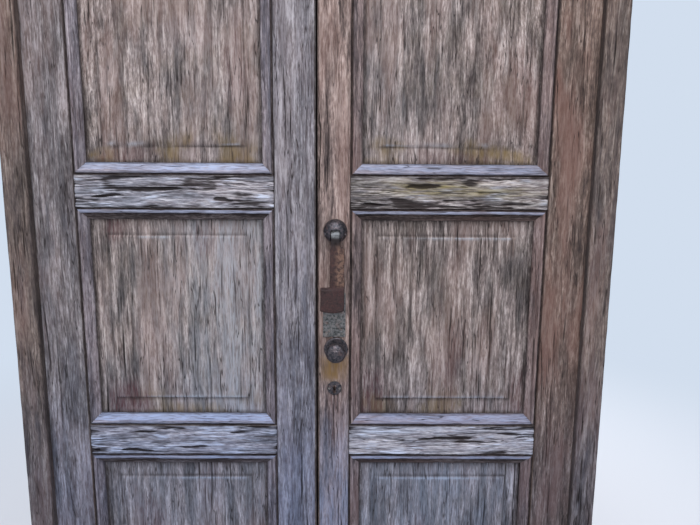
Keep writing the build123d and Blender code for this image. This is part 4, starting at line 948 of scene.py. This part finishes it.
# A loose board in the stiles' and rails' grooves, its top one cut to the arch.
def makePanel(side, row):
    node = f"{side}_{row}_panel"
    sign = -1 if side == "left" else 1
    low, high = nodeBox(node)
    bottom, top = low[2], high[2]
    tongue, sight, inset = panelShape["tongue"], panelShape["sight"], panelShape["fieldInset"]
    front, back, marks = panelShape["front"], panelShape["back"], panelMarks
    width, outer, length = stileEdge - meetingReach + 2 * tongue, stileEdge + tongue, top - bottom
    corners = [
        (0, front, False, 1.0), (width, front, False, 9), (width, back, False, 3.0), (0, back, False, 9),
    ]
    arched = row == "top"
    seed = 50 + 3 * panelSeeds[row] + (1 if side == "left" else 2)

    # A flat panel's own height, or a share of the arch's height there.
    def heightAt(s, a):
        if not arched:
            return bottom + s
        return bottom + s * (archHeight(outer, outer - a) - bottom) / length

    # s runs up, and a in from the hinge side.
    def place(s, a, y):
        return np.stack([sign * (outer - a), y, heightAt(s, a)], -1)

    # How far a point lies inside the field's outline: the least of its distances from the sides.
    def intoField(s, a):
        x, z = outer - a, heightAt(s, a)
        inward = np.minimum(stileEdge - inset - x, x - meetingReach - inset)
        inward = np.minimum(inward, z - bottom - tongue - inset)
        if not arched:
            return np.minimum(inward, top - tongue - inset - z)
        radial = np.where(z > springHeight, stileEdge - inset - np.hypot(x, z - springHeight), inward)
        return np.minimum(inward, radial)

    # The field stands out by fieldRise, over a bevel.
    def field(s, a):
        return -panelShape["fieldRise"] * np.clip(intoField(s, a) / panelShape["bevel"], 0, 1)

    # Painted highlight: 1 along the field's level arrises, which catch the light, and 0 along its upright
    # ones.
    def arrisAt(s, a):
        long, wide = marks["arrisPatch"]
        beside = np.minimum(stileEdge - inset - outer + a, outer - a - meetingReach - inset)
        broken = smooth(noise(s / long, a / wide, seed + 14), -0.6, 0.1)
        proud = bell(intoField(s, a), panelShape["bevel"], marks["arrisWide"])
        return proud * smooth(beside, *marks["arrisEnds"]) * broken

    # Yellow spots, nearly all of them low in the panel.
    def stainAt(s, a):
        (long, wide), above = marks["stainPatch"], marks["stainAbove"]
        up = heightAt(s, a) - bottom - tongue - sight
        ragged = marks["stainRagged"] * noise(a / 30, s * 0, seed + 4)
        lowPart = 1 - smooth(up + ragged, *marks["stainHigh"])
        spots = smooth(layered(s / long, a / wide, seed, 3), -0.25, 0.4)
        return panelStains[row] * spots * (above + (1 - above) * lowPart) * (1 - 0.8 * arrisAt(s, a))

    # Dirt and painted shade against the mouldings, most under the upper one, and a painted shade line at
    # the field's foot.
    def grimeAt(s, a):
        x, z, rim = outer - a, heightAt(s, a), tongue + sight
        across = np.minimum(stileEdge - sight - x, x - meetingReach - sight)
        beside = 1 - smooth(across, *marks["grimeBeside"])
        below = 1 - smooth(z - bottom - rim, *marks["grimeBelow"])
        above = 0 * x if arched else 1 - smooth(top - rim - z, *marks["grimeAbove"])
        foot = bell(intoField(s, a), -0.5, marks["grimeFootWide"])
        foot = foot * (0.7 + 0.4 * noise(s / 40, a / 40, seed + 6))
        return np.clip(highest(0.9 * beside, 0.75 * below, 0.75 * above, 0.75 * foot), 0, 1)

    # Red-brown patches: ovals with ragged edges.
    def blotchAt(s, a):
        total, (patchLong, patchWide) = 0 * s * a, marks["blotchPatch"]
        for share, level, wide, tall, strength in panelBlotches[node]:
            du, dv = (a - share * width) / (wide / 2), (s - level * length) / (tall / 2)
            edge = marks["blotchRagged"] * layered(s / patchLong, a / patchWide, seed + 8, 3)
            total = np.maximum(total, strength * (1 - smooth(np.hypot(du, dv) + edge, *marks["blotchEdge"])))
        return total

    # Silver that grows across the panel, and a painted highlight on the level arrises.
    def bleachAt(s, a):
        (start, full, strength), (long, wide) = panelSilver[node], marks["silverPatch"]
        across = a / width + 0.12 * layered(s / long, a / wide, seed + 12)
        return strength * smooth(across, start, full) + marks["arrisHighlight"] * arrisAt(s, a)

    look = {**panelLook, "seed": seed, "stainAt": stainAt, "grimeAt": grimeAt, "blotchAt": blotchAt,
            "bleachAt": bleachAt, "bleach": panelBleach[side]}
    edges = [tongue + inset + d for d in panelShape["stations"]]
    extra = edges + [length - e for e in edges]
    made = board(corners, length, place, look, [0], [2], step=2.1, alongStep=9.5, radius=0,
                 extra=extra, shape=field, trim=0.1)
    piece = makePiece(f"{side}{row.title()}Panel", [made], oak["panel"], sharp=55)
    return fit(piece, node)


# Mouldings: a quirk, a rounded bead and a slope down to the panel, mitred at the corners.
mouldingShape = {
    "width": 26.0, "quirk": 3.0, "quirkDepth": 4.0, "bead": 8.0, "rise": 1.0, "drop": 1.5, "step": 2.0,
    "sight": 3.5, "base": 16.0,
}
mouldingLook = {
    **wearLook, "ridgeMm": 3.5, "ridgeLength": 120, "ridgeDepth": 0.35, "sway": 0.25, "checks": 7,
    "checkDepth": 1.4, "checkWidth": 1.2, "checkLength": (30, 140), "wander": 1.5, "darkFrom": 1.2,
    "darkOver": 2.6, "dampShare": 0.7, "gnawed": 1.3, "trim": 0.15, "backShade": 0.95,
    "gnawedPatch": (45, 14), "silverPatch": (70, 9),
}


# The moulding's section as (across, depth) points, closer where it curves: a half ellipse, a straight
# slope and the plain back.
def mouldingOutline():
    m = mouldingShape
    turn = np.linspace(0, math.pi, 9)
    beadX = m["quirk"] + m["bead"] / 2 * (1 - np.cos(turn))
    bead = np.stack([beadX, m["drop"] - (m["drop"] + m["rise"]) * np.sin(turn)], -1)
    slopeStart = np.array((m["quirk"] + m["bead"], m["drop"] + m["step"]))
    slopeEnd = np.array((m["width"], m["base"] - m["sight"]))
    slope = slopeStart + np.linspace(0, 1, 11)[:, None] * (slopeEnd - slopeStart)
    rest = [(m["width"], m["base"]), (0, m["base"]), (0, m["quirkDepth"]), (m["quirk"], m["quirkDepth"])]
    points = np.concatenate([bead, slope, rest])
    before, after = points - np.roll(points, 1, 0), np.roll(points, -1, 0) - points
    before = before / np.linalg.norm(before, axis=1)[:, None]
    after = after / np.linalg.norm(after, axis=1)[:, None]
    tangent = before + after
    tangent = tangent / np.linalg.norm(tangent, axis=1)[:, None]
    normals = np.stack([tangent[:, 1], -tangent[:, 0]], -1)
    kinds = np.array([0] * len(bead) + [1] * len(slope) + [2] * len(rest))
    return points, normals, kinds


# One length of moulding; the silver shares say how bleached its bead and its slope are, partly as
# painted sky light, and shaded how much painted shade darkens a slope that faces away from the light.
def strip(length, placePoint, seed, silverBead, silverSlope, shaded=0.0):
    section, normals, kinds = mouldingOutline()
    isBead, isSlope = kinds == 0, kinds == 1
    along = stations(length, 8.0)
    look, shape = {**mouldingLook, "seed": seed, "length": length}, mouldingShape
    u, v = along[:, None], section[None, :, 0]
    worn = wornSurface(u, v, shape["width"], look)
    long, wide = look["gnawedPatch"]
    gnawed = look["gnawed"] * smooth(layered(u / long, v / wide, seed + 5, 3), 0.15, 0.5)
    worn = np.where(isBead | isSlope, worn + gnawed, 0.0) + look["trim"]
    across = section[None, :, 0] - worn * normals[None, :, 0]
    depth = section[None, :, 1] - worn * normals[None, :, 1]
    rings = placePoint(*np.broadcast_arrays(u, across, depth))
    long, wide = look["silverPatch"]
    patchy = 0.75 + 0.35 * layered(u / long, v / wide, seed + 8, 3)
    bleach = np.where(isBead, silverBead, np.where(isSlope, silverSlope, 0.0)) * patchy
    # Painted shade: the quirk, the slope's foot by the panel, the slope under the bead and the hidden back
    # are darker.
    down = smooth(v, shape["quirk"] + shape["bead"] - 2, shape["width"])
    foot = smooth(v, shape["width"] - 5, shape["width"])
    quirk = 1 - smooth(v, shape["quirk"] - 0.5, shape["quirk"] + 1.6)
    onBead = np.maximum(0.9 * quirk, shaded * 0.2)
    onSlope = highest(shaded * (1.0 - 0.3 * down), 0.7 * foot, 0.9 * quirk)
    shades = shadesOf(
        worn,
        hollow=np.clip((worn - look["darkFrom"]) / look["darkOver"], 0, 1),
        bleach=np.clip(bleach, 0, 1),
        grime=np.where(isBead, onBead, np.where(isSlope, onSlope, look["backShade"])),
        damp=look["dampShare"] * dampWithHeight(rings[..., 2]),
    )
    return skin(rings, along + seed * 910.0, perimeter(section) + seed * 283.0, shades)


# Silvering and painted sky light on the upward-facing slopes at the panels' feet.
footSilverAndSkyLight = {"left_middle_moulding": 1.5, "right_middle_moulding": 0.78, "right_top_moulding": 0.75}
sideSilver = {"left": 0.18, "right": 0.06}


# Four strips round a panel: s runs along each, and a inward from its outer edge, so that each mitre
# is where both have the same a.
def makeMoulding(side, row):
    node = f"{side}_{row}_moulding"
    sign = -1 if side == "left" else 1
    low, high = nodeBox(node)
    bottom, top = low[2], high[2]
    arched = row == "top"
    seed = 90 + 10 * panelSeeds[row] + (0 if side == "left" else 5)
    wide = stileEdge - meetingReach
    tall = (springHeight if arched else top) - bottom
    meetingTall = archHeight(stileEdge, meetingReach) - bottom if arched else tall
    arc = arcLength(stileEdge)

    # A level strip at the panel's top or its foot, shorter by a at either end.
    def level(atTop, s, a, y):
        x = stileEdge - a - s / wide * (wide - 2 * a)
        return np.stack([sign * x, y, top - a if atTop else bottom + a], -1)

    # The upright strip by the hinge stile, up to the springing line or the upper mitre.
    def hingeSide(s, a, y):
        finish = tall if arched else tall - a
        return np.stack([sign * (stileEdge - a), y, bottom + a + (s / tall) * (finish - a)], -1)

    # The upright strip by the meeting stile, up to the arc or the upper mitre.
    def meetingSide(s, a, y):
        finish = archHeight(stileEdge - a, meetingReach + a) - bottom if arched else meetingTall - a
        z = bottom + a + (s / meetingTall) * (finish - a)
        return np.stack([sign * (meetingReach + a), y, z], -1)

    # The strip round the arc.
    def archSide(s, a, y):
        return roundArch(s, arc, stileEdge - a, meetingReach + a, y, -sign)

    silver = sideSilver[side]
    # Each strip's silver shares are silvering with painted sky light on the foot's upward slope and on the
    # bead under the rail; the last number is the slope's painted shade.
    skins = [
        strip(wide, partial(level, False), seed, 0.6, footSilverAndSkyLight.get(node, 1.0)),
        strip(tall, hingeSide, seed + 1, silver, silver, 0.25),
        strip(meetingTall, meetingSide, seed + 2, silver, silver, 0.1),
    ]
    if arched:
        skins.append(strip(arc, archSide, seed + 3, 0.4, 0.1, 0.5))
    else:
        skins.append(strip(wide, partial(level, True), seed + 3, 0.95, 0.0, 1.0))
    piece = makePiece(f"{side}{row.title()}Moulding", skins, oak[f"{side}Moulding"], sharp=50)
    return fit(piece, node)


for side in ("left", "right"):
    for row in ("bottom", "middle", "top"):
        makePanel(side, row)
        makeMoulding(side, row)
print("panels and mouldings made")

# Frame
frameLow, frameHigh = nodeBox("left_jamb")
frameOuter, sight = -frameLow[0], -frameHigh[0]
lipFront = frameLow[1]
frameShape = {"chamfer": 6.0, "lipBack": -2.0, "rebate": leafEdge + 3.0, "footHeight": 40.0}
frameMesh = {"step": 2.0, "radius": 2.5, "trim": 0.15}
frameLook = {**wearLook, "checks": 22, "ridgeDepth": 0.5}
jambs = {"left": {**frameLook, "seed": 61, "bleach": 0.1}, "right": {**frameLook, "seed": 62, "bleach": 0.1}}
archHeads = {
    "left": {**frameLook, "seed": 63, "bleach": 0.2}, "right": {**frameLook, "seed": 64, "bleach": 0.2},
}


# The rebated section from its outer arris: the lip's face, its chamfer, the rebate, the back.
def frameSection():
    s = frameShape
    width, rebate = frameOuter - sight, frameOuter - s["rebate"]
    corners = [
        (0, lipFront, True, 1.2), (width - s["chamfer"], lipFront, False, 1.0),
        (width, lipFront + s["chamfer"], False, 2.0), (width, s["lipBack"], False, 3.0),
        (rebate, s["lipBack"], False, 4.0), (rebate, thickness, True, 2.0), (0, thickness, True, 5.0),
    ]
    return corners, [0, 1, 2], [5]


fixing = {"hole": 5.5, "head": 12.0, "sinking": 10.0, "past": 5.0, "overlap": 2.0, "pastRebate": 6.0}


# The wall fixings' holes, each with its sinking in the rebate, cut where the mounts are.
def drillHoles(piece, node):
    work = bmesh.new()
    side = -1 if node.startswith("left") else 1
    outerEnd, innerEnd = frameOuter + fixing["past"], frameShape["rebate"] - fixing["pastRebate"]
    floor = side * (frameShape["rebate"] + fixing["sinking"]) * mm
    spans = (
        (fixing["hole"], side * outerEnd * mm, floor - side * (fixing["overlap"] * mm)),
        (fixing["head"], floor, side * innerEnd * mm),
    )
    turn = Matrix.Rotation(math.pi / 2, 4, "Y")
    mounts = [m for m in frame["record"]["mounts"] if m["name"].startswith(node)]
    for mount in mounts:
        middle, spacing = np.array(mount["pos_m"]), mount["dims"]["spacing_y_mm"] * mm
        for step in (-0.5, 0.5):
            for radius, start, finish in spans:
                place = Matrix.Translation(((start + finish) / 2, middle[1], middle[2] + step * spacing))
                size = {"radius1": radius * mm, "radius2": radius * mm, "depth": abs(finish - start)}
                bmesh.ops.create_cone(work, cap_ends=True, segments=32, matrix=place @ turn, **size)
    mesh = bpy.data.meshes.new("drill")
    work.to_mesh(mesh)
    work.free()
    drill = addObject("drill", mesh)
    cut = piece.modifiers.new("holes", "BOOLEAN")
    cut.operation, cut.object, cut.solver, cut.use_self = "DIFFERENCE", drill, "EXACT", True
    applyModifiers(piece)
    bpy.data.objects.remove(drill)


# An upright post from its foot on the threshold to the springing line.
def makeJamb(side):
    sign = -1 if side == "left" else 1
    corners, front, back = frameSection()
    foot = frameShape["footHeight"]

    # s runs up from the foot, and a in from the outer edge.
    def place(s, a, y):
        return np.stack([sign * (frameOuter - a), y, foot + s], -1)

    made = board(corners, springHeight - foot, place, jambs[side], front, back, alongStep=12.0, **frameMesh)
    piece = makePiece(f"{side}Jamb", [made], oak["frame"])
    drillHoles(piece, f"{side}_jamb")
    return fit(piece, f"{side}_jamb")


# A quarter of a circle from the springing line to the crown, its length measured round the outside.
def makeArchHead(side):
    sign = 1 if side == "left" else -1
    corners, front, back = frameSection()

    # The angle is s over the outer radius, and a runs in toward the arc's middle.
    def place(s, a, y):
        radius, angle = frameOuter - a, math.pi - s / frameOuter
        return np.stack([sign * radius * np.cos(angle), y, springHeight + radius * np.sin(angle)], -1)

    length = frameOuter * math.pi / 2
    made = board(corners, length, place, archHeads[side], front, back, alongStep=11.0, **frameMesh)
    piece = makePiece(f"{side}ArchHead", [made], oak["frame"])
    return fit(piece, f"{side}_arch_head")


thresholdShape = {
    "nose": 26.0, "stop": 14.0, "socketX": -55.0, "socketY": 57.0, "socketRadius": 9.0, "socketDepth": 26.0,
    "endTrim": 0.3,
}
thresholdLook = {
    **frameLook, "seed": 71, "checks": 30, "bleach": 0.3, "damp": 0.3, "darkFrom": 1.2, "darkOver": 3.0,
    "trodden": 2.2, "troddenHalf": 330.0, "plainWear": 0.2, "trim": 0.15,
}


# The sill bar along X, with its sloping nose and the stop that the leaves close against.
def makeThreshold():
    s, look = thresholdShape, thresholdLook
    low, high = nodeBox("threshold")
    top, lipBack = high[2] - s["stop"], frameShape["lipBack"]
    corners = [
        (low[1], 0, False, 12.0), (high[1], 0, False, 9), (high[1], top, True, 1.4),
        (lipBack, top, False, 4.0), (lipBack, high[2], True, 3.0), (lipFront, high[2], True, 3.0),
        (lipFront, top, False, 1.4), (low[1], s["nose"], True, 9),
    ]
    bottomSide, walkedSides, indoorTop, noseSlope = 0, (2, 4, 6), 2, 6
    length = high[0] - low[0]
    points, normals, sides = outline(corners, 2.0, 2.0)
    nearSocket = s["socketX"] - low[0] + np.arange(-12, 12.1, 2.0)
    stopEnds = [x - low[0] for x in (-sight - 0.1, -sight + 0.1, sight - 0.1, sight + 0.1)]
    along = stations(length, 12.0, [*nearSocket, *stopEnds])
    u, v = along[:, None], points[None, :, 0]
    worn = wornSurface(u, v - low[1], high[1] - low[1], {**look, "length": length})
    trodden = look["trodden"] * bell(u, length / 2, look["troddenHalf"]) * (sides == noseSlope)
    worn = np.where(np.isin(sides, walkedSides), worn + trodden, look["plainWear"]) + look["trim"]
    worn = worn * (sides != bottomSide)
    away = np.hypot(u + low[0] - s["socketX"], v - s["socketY"])
    socket = 1 - smooth(away, s["socketRadius"] - 2, s["socketRadius"])
    pit = s["socketDepth"] * socket * (sides == indoorTop)
    across = points[None, :, 0] - worn * normals[None, :, 0]
    rise = points[None, :, 1] - worn * normals[None, :, 1] - pit
    underJamb = np.abs(u + low[0]) > sight  # the stop ends between the jambs' lips
    rise = np.where(underJamb, np.minimum(rise, top), rise)
    rings = np.stack(np.broadcast_arrays(low[0] + u, across, rise), -1)
    rings[0, :, 0] += s["endTrim"]
    rings[-1, :, 0] -= s["endTrim"]
    hollow = np.clip((worn - look["darkFrom"]) / look["darkOver"], 0, 1)
    # The sill takes an even share of the painted cool light.
    shades = shadesOf(worn, hollow=hollow, bleach=look["bleach"], damp=look["damp"])
    made = skin(rings, along + 777.0, perimeter(points) + 333.0, shades)
    piece = makePiece("thresholdBar", [made], oak["frame"])
    mergeClose(piece.data)
    return fit(piece, "threshold")


for side in ("left", "right"):
    makeJamb(side)
    makeArchHead(side)
makeThreshold()
print("frame made")

# Forged and cast door furniture
forgedLook = {
    "voxelMm": 1.0, "smoothing": 3, "dents": 0.25, "dentMm": 9.0, "pits": 0.35, "pitMm": 3.2, "seed": 5,
}


# Noise in space from three plane noises, each skewed off the axes.
def spotNoise(p, size, seed):
    x, y, z = p[:, 0] / size, p[:, 1] / size, p[:, 2] / size
    total = noise(x + 0.37 * z, y - 0.21 * x, seed) + noise(y + 0.29 * x, z + 0.33 * y, seed + 1)
    return (total + noise(z - 0.31 * y, x + 0.27 * z, seed + 2)) / 1.8


# The solid's own form with its edges rounded by wear and its skin dented and pitted: a copy is
# remeshed to even faces, relaxed, and moved along its normals by noise.
def forged(name, node, material, slotName, **changes):
    look = {**forgedLook, **changes}
    mesh = nodes[node].data.copy()
    mergeClose(mesh)
    piece = addObject(name, mesh)
    remesh = piece.modifiers.new("even", "REMESH")
    remesh.mode, remesh.voxel_size, remesh.adaptivity = "VOXEL", look["voxelMm"] * mm, 0.0
    applyModifiers(piece)
    even = piece.data

    # What the mesh holds for each of its points, as rows of three.
    def pointRows(what):
        values = np.empty(len(even.vertices) * 3)
        even.vertices.foreach_get(what, values)
        return values.reshape(-1, 3)

    points = pointRows("co")
    edges = np.empty(len(even.edges) * 2, np.int64)
    even.edges.foreach_get("vertices", edges)
    start, finish = edges.reshape(-1, 2).T
    valence = np.bincount(edges, minlength=len(points))[:, None]
    for _ in range(look["smoothing"]):
        total = np.zeros_like(points)
        np.add.at(total, start, points[finish])
        np.add.at(total, finish, points[start])
        points = 0.5 * points + 0.5 * total / valence
    even.vertices.foreach_set("co", points.ravel())
    even.update()
    place = points * 1000
    worn = look["dents"] * (0.5 + 0.5 * spotNoise(place, look["dentMm"], look["seed"]))
    worn = worn + look["pits"] * smooth(spotNoise(place, look["pitMm"], look["seed"] + 9), 0.1, 0.7)
    even.vertices.foreach_set("co", (points - pointRows("normal") * (worn * mm)[:, None]).ravel())
    even.update()
    even.materials.clear()
    even.materials.append(material)
    even.shade_smooth()
    return fit(piece, node)


forged("knockerBoss", "knocker_boss", iron["dark"], "dark_iron", dents=0.5)
forged("knockerHammer", "knocker_hammer", iron["rusted"], "rusted_iron",
       voxelMm=1.2, dents=0.9, dentMm=14, pits=0.5)
forged("knockerStrike", "knocker_strike", iron["strike"], "dark_iron", dents=0.3, pits=0.7, pitMm=4)
forged("knobRose", "knob_rose", iron["dark"], "dark_iron", voxelMm=0.9, dents=0.2)
forged("pullKnob", "pull_knob", iron["dark"], "dark_iron", pits=0.3)
forged("keyholeEscutcheon", "keyhole_escutcheon", iron["dark"], "dark_iron",
       voxelMm=0.6, dents=0.15, smoothing=2)
print("door furniture made")

# The oak pegs, split from the log and driven through: pale end grain with brown rings.
pegLook = {"ring": "#4E3828", "pale": "#8A6A4C", "ringMm": 1.2, "roughness": 0.8}
pegOak, pegTree = newMaterial("cleftOakPeg")
pegPlace = addNode(pegTree, "TexCoord", out="Object")
pegNoise = addNode(pegTree, "TexNoise", Vector=pegPlace, Scale=1000 / pegLook["ringMm"], Detail=2.0)
pegColour = addNode(pegTree, "ValToRGB", pegNoise, stops=[(0.35, pegLook["ring"]), (0.65, pegLook["pale"])])
pegShader = addNode(pegTree, "BsdfPrincipled", Base_Color=pegColour, Roughness=pegLook["roughness"])
addNode(pegTree, "OutputMaterial", pegShader)

# The rest keeps its solid's shape and takes its finish.
finishes = (
    (iron["plate"], (
        "left_hinge_frame_plates", "right_hinge_frame_plates", "left_hinge_leaf_plates",
        "right_hinge_leaf_plates", "left_hinge_pins", "right_hinge_pins", "lock_case", "lock_backplate",
        "lock_keeper", "bolt_brackets", "top_bolt_rod", "bottom_bolt_rod", "top_bolt_keeper",
        "bottom_bolt_keeper", "furniture_nuts",
    )),
    (iron["steel"], ("dead_bolt", "lock_spring", "frame_screws", "left_leaf_screws", "right_leaf_screws")),
    (iron["rusted"], ("knocker_pin",)),
    (pegOak, ("frame_pegs", "left_leaf_pegs", "right_leaf_pegs")),
)
for finish, names in finishes:
    for node in names:
        nodes[node].data.materials.clear()
        nodes[node].data.materials.append(finish)
print("finishes given")

# Floor, light and camera
floorSize = 5.0
floorCorners = [(x * floorSize, y * floorSize, 0) for x, y in ((-1, -1), (1, -1), (1, 1), (-1, 1))]
floorMesh = bpy.data.meshes.new("floor")
floorMesh.from_pydata(floorCorners, [], [(0, 1, 2, 3)])
floor = addObject("floor", floorMesh)
floorMaterial, floorTree = newMaterial("paleFloor")
floorMesh.materials.append(floorMaterial)

# The floor runs into the backdrop, between these distances from the middle in metres.
floorLook = {"colour": "#D9DCE2", "roughness": 0.9, "fadesFrom": 1.3, "fadesTo": 3.6}
backdrop = "#D2DEEE"
away = addNode(floorTree, "VectorMath", addNode(floorTree, "TexCoord", out="Object"), operation="LENGTH")
fading = addNode(floorTree, "MapRange", away, floorLook["fadesFrom"], floorLook["fadesTo"], **eased)
fading = addNode(floorTree, "Math", fading, addNode(floorTree, "LightPath", out="Is Camera Ray"), **times)
glow = addNode(floorTree, "Emission", Color=linear(backdrop), Strength=1.0)
bare = {"Base_Color": linear(floorLook["colour"]), "Roughness": floorLook["roughness"]}
floorShader = addNode(floorTree, "BsdfPrincipled", **bare)
addNode(floorTree, "OutputMaterial", addNode(floorTree, "MixShader", fading, floorShader, glow))

lamps = {
    "sky": {"at": (0.15, -1.6, 3.9), "towards": 1.15, "size": 2.4, "power": 118, "colour": "#F8F7FB"},
    "front": {"at": (-0.5, -3.5, 2.1), "towards": 1.2, "size": 2.0, "power": 24, "colour": "#FFF6EC"},
    "rear": {"at": (0.8, 3.4, 2.6), "towards": 1.2, "size": 2.4, "power": 110, "colour": "#FFFFFF"},
}
for name, lamp in lamps.items():
    light = bpy.data.lights.new(name, "AREA")
    light.shape, light.size, light.energy = "SQUARE", lamp["size"], lamp["power"]
    light.color = linear(lamp["colour"])[:3]
    holder = addObject(name, light)
    holder.location = lamp["at"]
    aim = Vector((0.0, 0.0, lamp["towards"])) - Vector(lamp["at"])
    holder.rotation_euler = aim.to_track_quat("-Z", "Y").to_euler()

worldLook = {"ambient": "#E4ECFC", "ambientStrength": 0.42}
world = bpy.data.worlds.new("studio")
bpy.context.scene.world = world
world.use_nodes = True
worldTree = world.node_tree
worldTree.nodes.clear()
rays = ("Is Camera Ray", "Is Glossy Ray", "Is Transmission Ray")
straight, glossy, through = (addNode(worldTree, "LightPath", out=ray) for ray in rays)
seen = addNode(worldTree, "Math", straight, glossy, operation="MAXIMUM")
seen = addNode(worldTree, "Math", seen, through, operation="MAXIMUM")
ambient = {"Color": linear(worldLook["ambient"]), "Strength": worldLook["ambientStrength"]}
soft = addNode(worldTree, "Background", **ambient)
shown = addNode(worldTree, "Background", Color=linear(backdrop), Strength=1.0)
addNode(worldTree, "OutputWorld", addNode(worldTree, "MixShader", seen, soft, shown))

cameraLook = {
    "at": (0.069, -1.562, 1.485), "pitch": 10.72, "yaw": 0.60, "roll": 0.41, "lens": 36.0, "sensor": 36.0,
    "nearest": 0.05,
}
camera = addObject("camera", bpy.data.cameras.new("camera"))
camera.data.lens, camera.data.sensor_width = cameraLook["lens"], cameraLook["sensor"]
camera.data.clip_start = cameraLook["nearest"]
yaw, pitch, roll = (math.radians(cameraLook[k]) for k in ("yaw", "pitch", "roll"))
forward = Vector((math.sin(yaw) * math.cos(pitch), math.cos(yaw) * math.cos(pitch), -math.sin(pitch)))
right = forward.cross(Vector((0, 0, 1))).normalized()
up = right.cross(forward)
turned = right * math.cos(roll) + up * math.sin(roll), up * math.cos(roll) - right * math.sin(roll)
rows = Matrix((turned[0], turned[1], -forward)).transposed().to_4x4()
camera.matrix_world = Matrix.Translation(cameraLook["at"]) @ rows
bpy.context.scene.camera = camera
bpy.context.scene.view_settings.view_transform = "Standard"
print("light and camera set")
